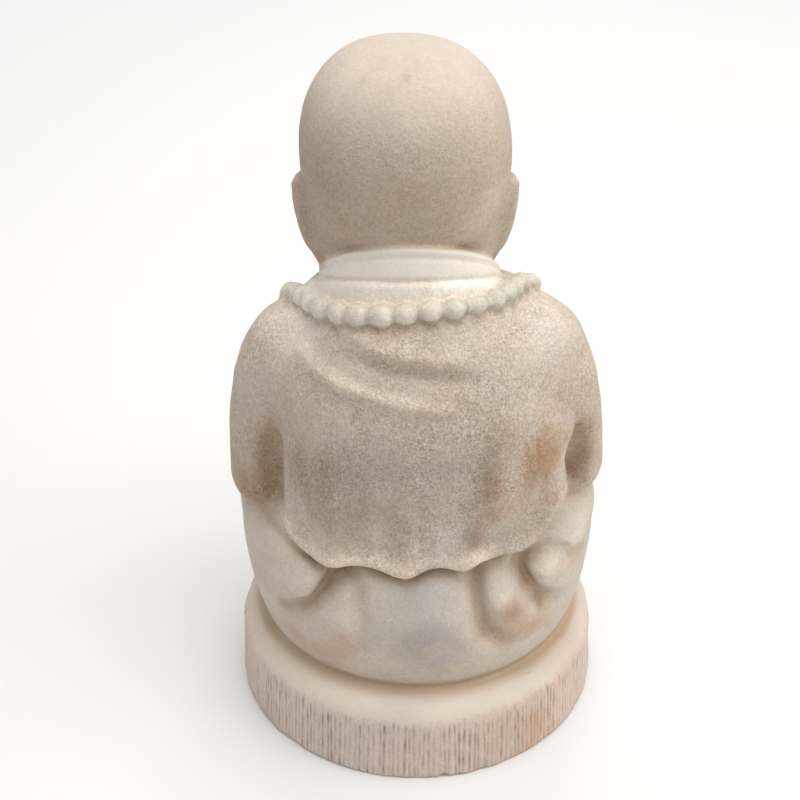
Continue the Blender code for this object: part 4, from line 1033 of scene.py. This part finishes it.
    # painted shade in the gaps between the beads and a painted shadow under them
    first, second = np.full(len(v), 60.0), np.full(len(v), 60.0)
    lowest = np.full(len(v), 0.0)
    for c in KEEP["beads"]:
        f = near((x, y, z), c - 26, c + 26)
        d = np.linalg.norm(v[f] - c, axis=1)
        lowest[f] = np.where(d < first[f], z[f] - c[2], lowest[f])
        second[f] = np.minimum(second[f], np.maximum(first[f], d))
        first[f] = np.minimum(first[f], d)
    bead_gap_shade = beads * bell(second - first, 2.4)
    under = (cloth + beads) * bell(first - BEAD_R - 1.0, 2.2) * (1 - step(lowest, -5.0, -1.0))
    out = out * (1 + (np.array((0.66, 0.62, 0.55)) - 1) * (np.clip((0.45 + 0.40 * step(-x, -20, 25)) * bead_gap_shade + 0.60 * under, 0, 1) * (0.85 + 0.3 * noise(v, 5, 63)))[:, None])
    # painted light: faces turned up are paler, the cloth more so, and the yoke a little paler still
    painted_top_light = step(n[:, 2], 0.25, 0.95) * (skin + cloth + band + beads)
    out = out * (1 + 0.05 * painted_top_light + 0.06 * painted_top_light * cloth + 0.08 * yoke)[:, None]
    coarse = 1.00 + 0.42 * noise(v, 19, 71) + 0.25 * noise(v, 7, 72) + 0.30 * bell(x + 32, 42) * bell(z - 258, 34)
    grain = coarse * cloth + 0.62 * skin * (1 - 0.5 * step(n[:, 2], 0.2, 0.9)) + 0.40 * low + 0.55 * beads + 0.2 * band + 0.08 * foot + 0.3 * side
    grain = grain * (1 - 0.65 * yoke)
    return np.clip(out, 0.01, 0.95), grain


def bead_line(x):
    """Height of the necklace behind, at x."""
    c = KEEP["beads"]
    c = c[c[:, 1] > -14]
    c = c[np.argsort(c[:, 0])]
    return np.interp(x, c[:, 0], c[:, 2])


def concrete():
    mat = bpy.data.materials.new("cast_concrete")
    mat.use_nodes = True
    nt = mat.node_tree
    nodes, links = nt.nodes, nt.links
    nodes.clear()

    def node(kind, **values):
        nd = nodes.new(kind)
        for k, val in values.items():
            if k.startswith("_"):
                setattr(nd, k[1:], val)
            else:
                nd.inputs[k.replace("_", " ")].default_value = val
        return nd
    out = node("ShaderNodeOutputMaterial")
    shader = node("ShaderNodeBsdfPrincipled", Roughness=0.88, Metallic=0.0)
    shader.inputs["Specular IOR Level"].default_value = 0.25
    links.new(shader.outputs["BSDF"], out.inputs["Surface"])
    tex = node("ShaderNodeTexCoord")
    tone = node("ShaderNodeAttribute", _attribute_name="tone")
    grain = node("ShaderNodeAttribute", _attribute_name="grain")
    fine = node("ShaderNodeTexNoise", Scale=620.0, Detail=2.0, Roughness=0.6)
    mid = node("ShaderNodeTexNoise", Scale=260.0, Detail=3.0, Roughness=0.65)
    for t in (fine, mid):
        links.new(tex.outputs["Object"], t.inputs["Vector"])
    # speckle factor around 1
    f1 = node("ShaderNodeMapRange")
    f1.inputs["From Min"].default_value = 0.33
    f1.inputs["From Max"].default_value = 0.67
    f1.inputs["To Min"].default_value = -0.20
    f1.inputs["To Max"].default_value = 0.15
    links.new(fine.outputs["Fac"], f1.inputs["Value"])
    f2 = node("ShaderNodeMapRange")
    f2.inputs["From Min"].default_value = 0.30
    f2.inputs["From Max"].default_value = 0.70
    f2.inputs["To Min"].default_value = -0.15
    f2.inputs["To Max"].default_value = 0.11
    links.new(mid.outputs["Fac"], f2.inputs["Value"])
    both = node("ShaderNodeMath", _operation="ADD")
    links.new(f1.outputs["Result"], both.inputs[0])
    links.new(f2.outputs["Result"], both.inputs[1])
    times = node("ShaderNodeMath", _operation="MULTIPLY")
    links.new(both.outputs[0], times.inputs[0])
    links.new(grain.outputs["Fac"], times.inputs[1])
    # the dark grains are a little browner than what is round them
    browner = node("ShaderNodeVectorMath", _operation="MULTIPLY_ADD")
    links.new(times.outputs[0], browner.inputs[0])
    browner.inputs[1].default_value = (0.86, 1.0, 1.20)
    browner.inputs[2].default_value = (1.0, 1.0, 1.0)
    mul = node("ShaderNodeVectorMath", _operation="MULTIPLY")
    links.new(tone.outputs["Color"], mul.inputs[0])
    links.new(browner.outputs[0], mul.inputs[1])
    links.new(mul.outputs[0], shader.inputs["Base Color"])
    height = node("ShaderNodeMath", _operation="MULTIPLY_ADD")
    links.new(both.outputs[0], height.inputs[0])
    links.new(grain.outputs["Fac"], height.inputs[1])
    height.inputs[2].default_value = 0.0
    bump = node("ShaderNodeBump", Strength=0.6, Distance=0.0017)
    links.new(height.outputs[0], bump.inputs["Height"])
    links.new(bump.outputs["Normal"], shader.inputs["Normal"])
    return mat


def statue():
    verts, tris, cut, n_fig = whole_skin()
    n = normals_of(verts, tris)
    # the cast and sanded surface is never quite true
    fig = np.arange(len(verts)) < n_fig
    w = regions(verts)
    uneven = (0.9 * w[3] + 0.45 * w[0] + 0.6 * w[4] + 0.4 * w[1] + 0.35 * w[5] + 2.3 * w[2])
    face_calm = 1 - 0.75 * np.exp(-((verts[:, 0] - 9) / 60) ** 2) * (verts[:, 1] < -50) * (verts[:, 2] > 335)
    push = (0.55 * noise(verts, 22, 1) + 0.34 * noise(verts, 8.5, 2) + 0.17 * noise(verts, 3.6, 6)) * uneven * face_calm
    # how shut in each vertex is, 5 mm and 14 mm out along its normal, for the painted shade in hollows
    shut = 1 - design(verts + n * 5.0) / 5.0
    wide = 1 - design(verts + n * 14.0) / 14.0
    verts = verts + n * (push * fig)[:, None]
    colour, grain = tint(verts, n, cut, shut * 0.95 - 0.06, wide - 0.12)
    me = make_mesh("child_monk_statue_skin", verts * MM, tris)
    me.polygons.foreach_set("use_smooth", np.ones(len(tris), bool))
    tone = me.attributes.new("tone", "FLOAT_COLOR", "POINT")
    tone.data.foreach_set("color", np.hstack([colour, np.ones((len(verts), 1))]).astype(np.float32).ravel())
    g = me.attributes.new("grain", "FLOAT", "POINT")
    g.data.foreach_set("value", grain.astype(np.float32))
    me.materials.append(concrete())
    ob = bpy.data.objects.new("child_monk_statue_skin", me)
    bpy.context.scene.collection.objects.link(ob)
    return ob


# ---------------------------------------------------------------- studio
def plain(name, colour, rough=0.9):
    mat = bpy.data.materials.new(name)
    mat.use_nodes = True
    b = mat.node_tree.nodes["Principled BSDF"]
    b.inputs["Base Color"].default_value = colour
    b.inputs["Roughness"].default_value = rough
    b.inputs["Specular IOR Level"].default_value = 0.1
    return mat


def area(name, place, aim, size, power, colour=(1, 1, 1)):
    data = bpy.data.lights.new(name, "AREA")
    data.shape = "DISK"
    data.size = size
    data.energy = power
    data.color = colour
    ob = bpy.data.objects.new(name, data)
    ob.location = place
    ob.rotation_euler = (Vector(place) - Vector(aim)).to_track_quat("Z", "Y").to_euler()
    bpy.context.scene.collection.objects.link(ob)


def studio():
    scene = bpy.context.scene
    bpy.ops.mesh.primitive_plane_add(size=9.0, location=(0, 0, 0))
    floor = bpy.context.object
    floor.name = "floor"
    floor.data.materials.append(plain("pale_floor", (0.86, 0.86, 0.86, 1)))
    world = bpy.data.worlds.new("sky")
    scene.world = world
    world.use_nodes = True
    back = world.node_tree.nodes["Background"]
    back.inputs[0].default_value = (1.0, 1.0, 1.0, 1)
    back.inputs[1].default_value = 0.40
    area("above", (-0.22, 0.20, 2.3), (0, 0, 0.25), 1.7, 31, (1.0, 0.985, 0.97))
    area("right", (-1.9, 0.5, 1.1), (0, 0, 0.25), 2.2, 16.5, (1.0, 0.975, 0.95))
    area("left", (1.9, 0.6, 1.2), (0, 0, 0.25), 1.4, 2.5, (1.0, 0.98, 0.97))
    area("far", (0.0, -1.7, 2.0), (0, -1.3, 0), 1.6, 16, (1.0, 1.0, 1.0))
    scene.view_settings.view_transform = "Standard"
    scene.view_settings.look = "None"
    cam = bpy.data.cameras.new("camera")
    cam.sensor_width = 36.0
    cam.lens = 87.864
    cam.clip_start = 0.05
    ob = bpy.data.objects.new("camera", cam)
    ob.location = (0.01253, 1.09337, 1.01959)
    ob.rotation_euler = (math.radians(90 - 35.646), 0.0, math.pi)
    scene.collection.objects.link(ob)
    scene.camera = ob


ob = statue()
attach(ob, "root")
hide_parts("child_monk_statue")
studio()
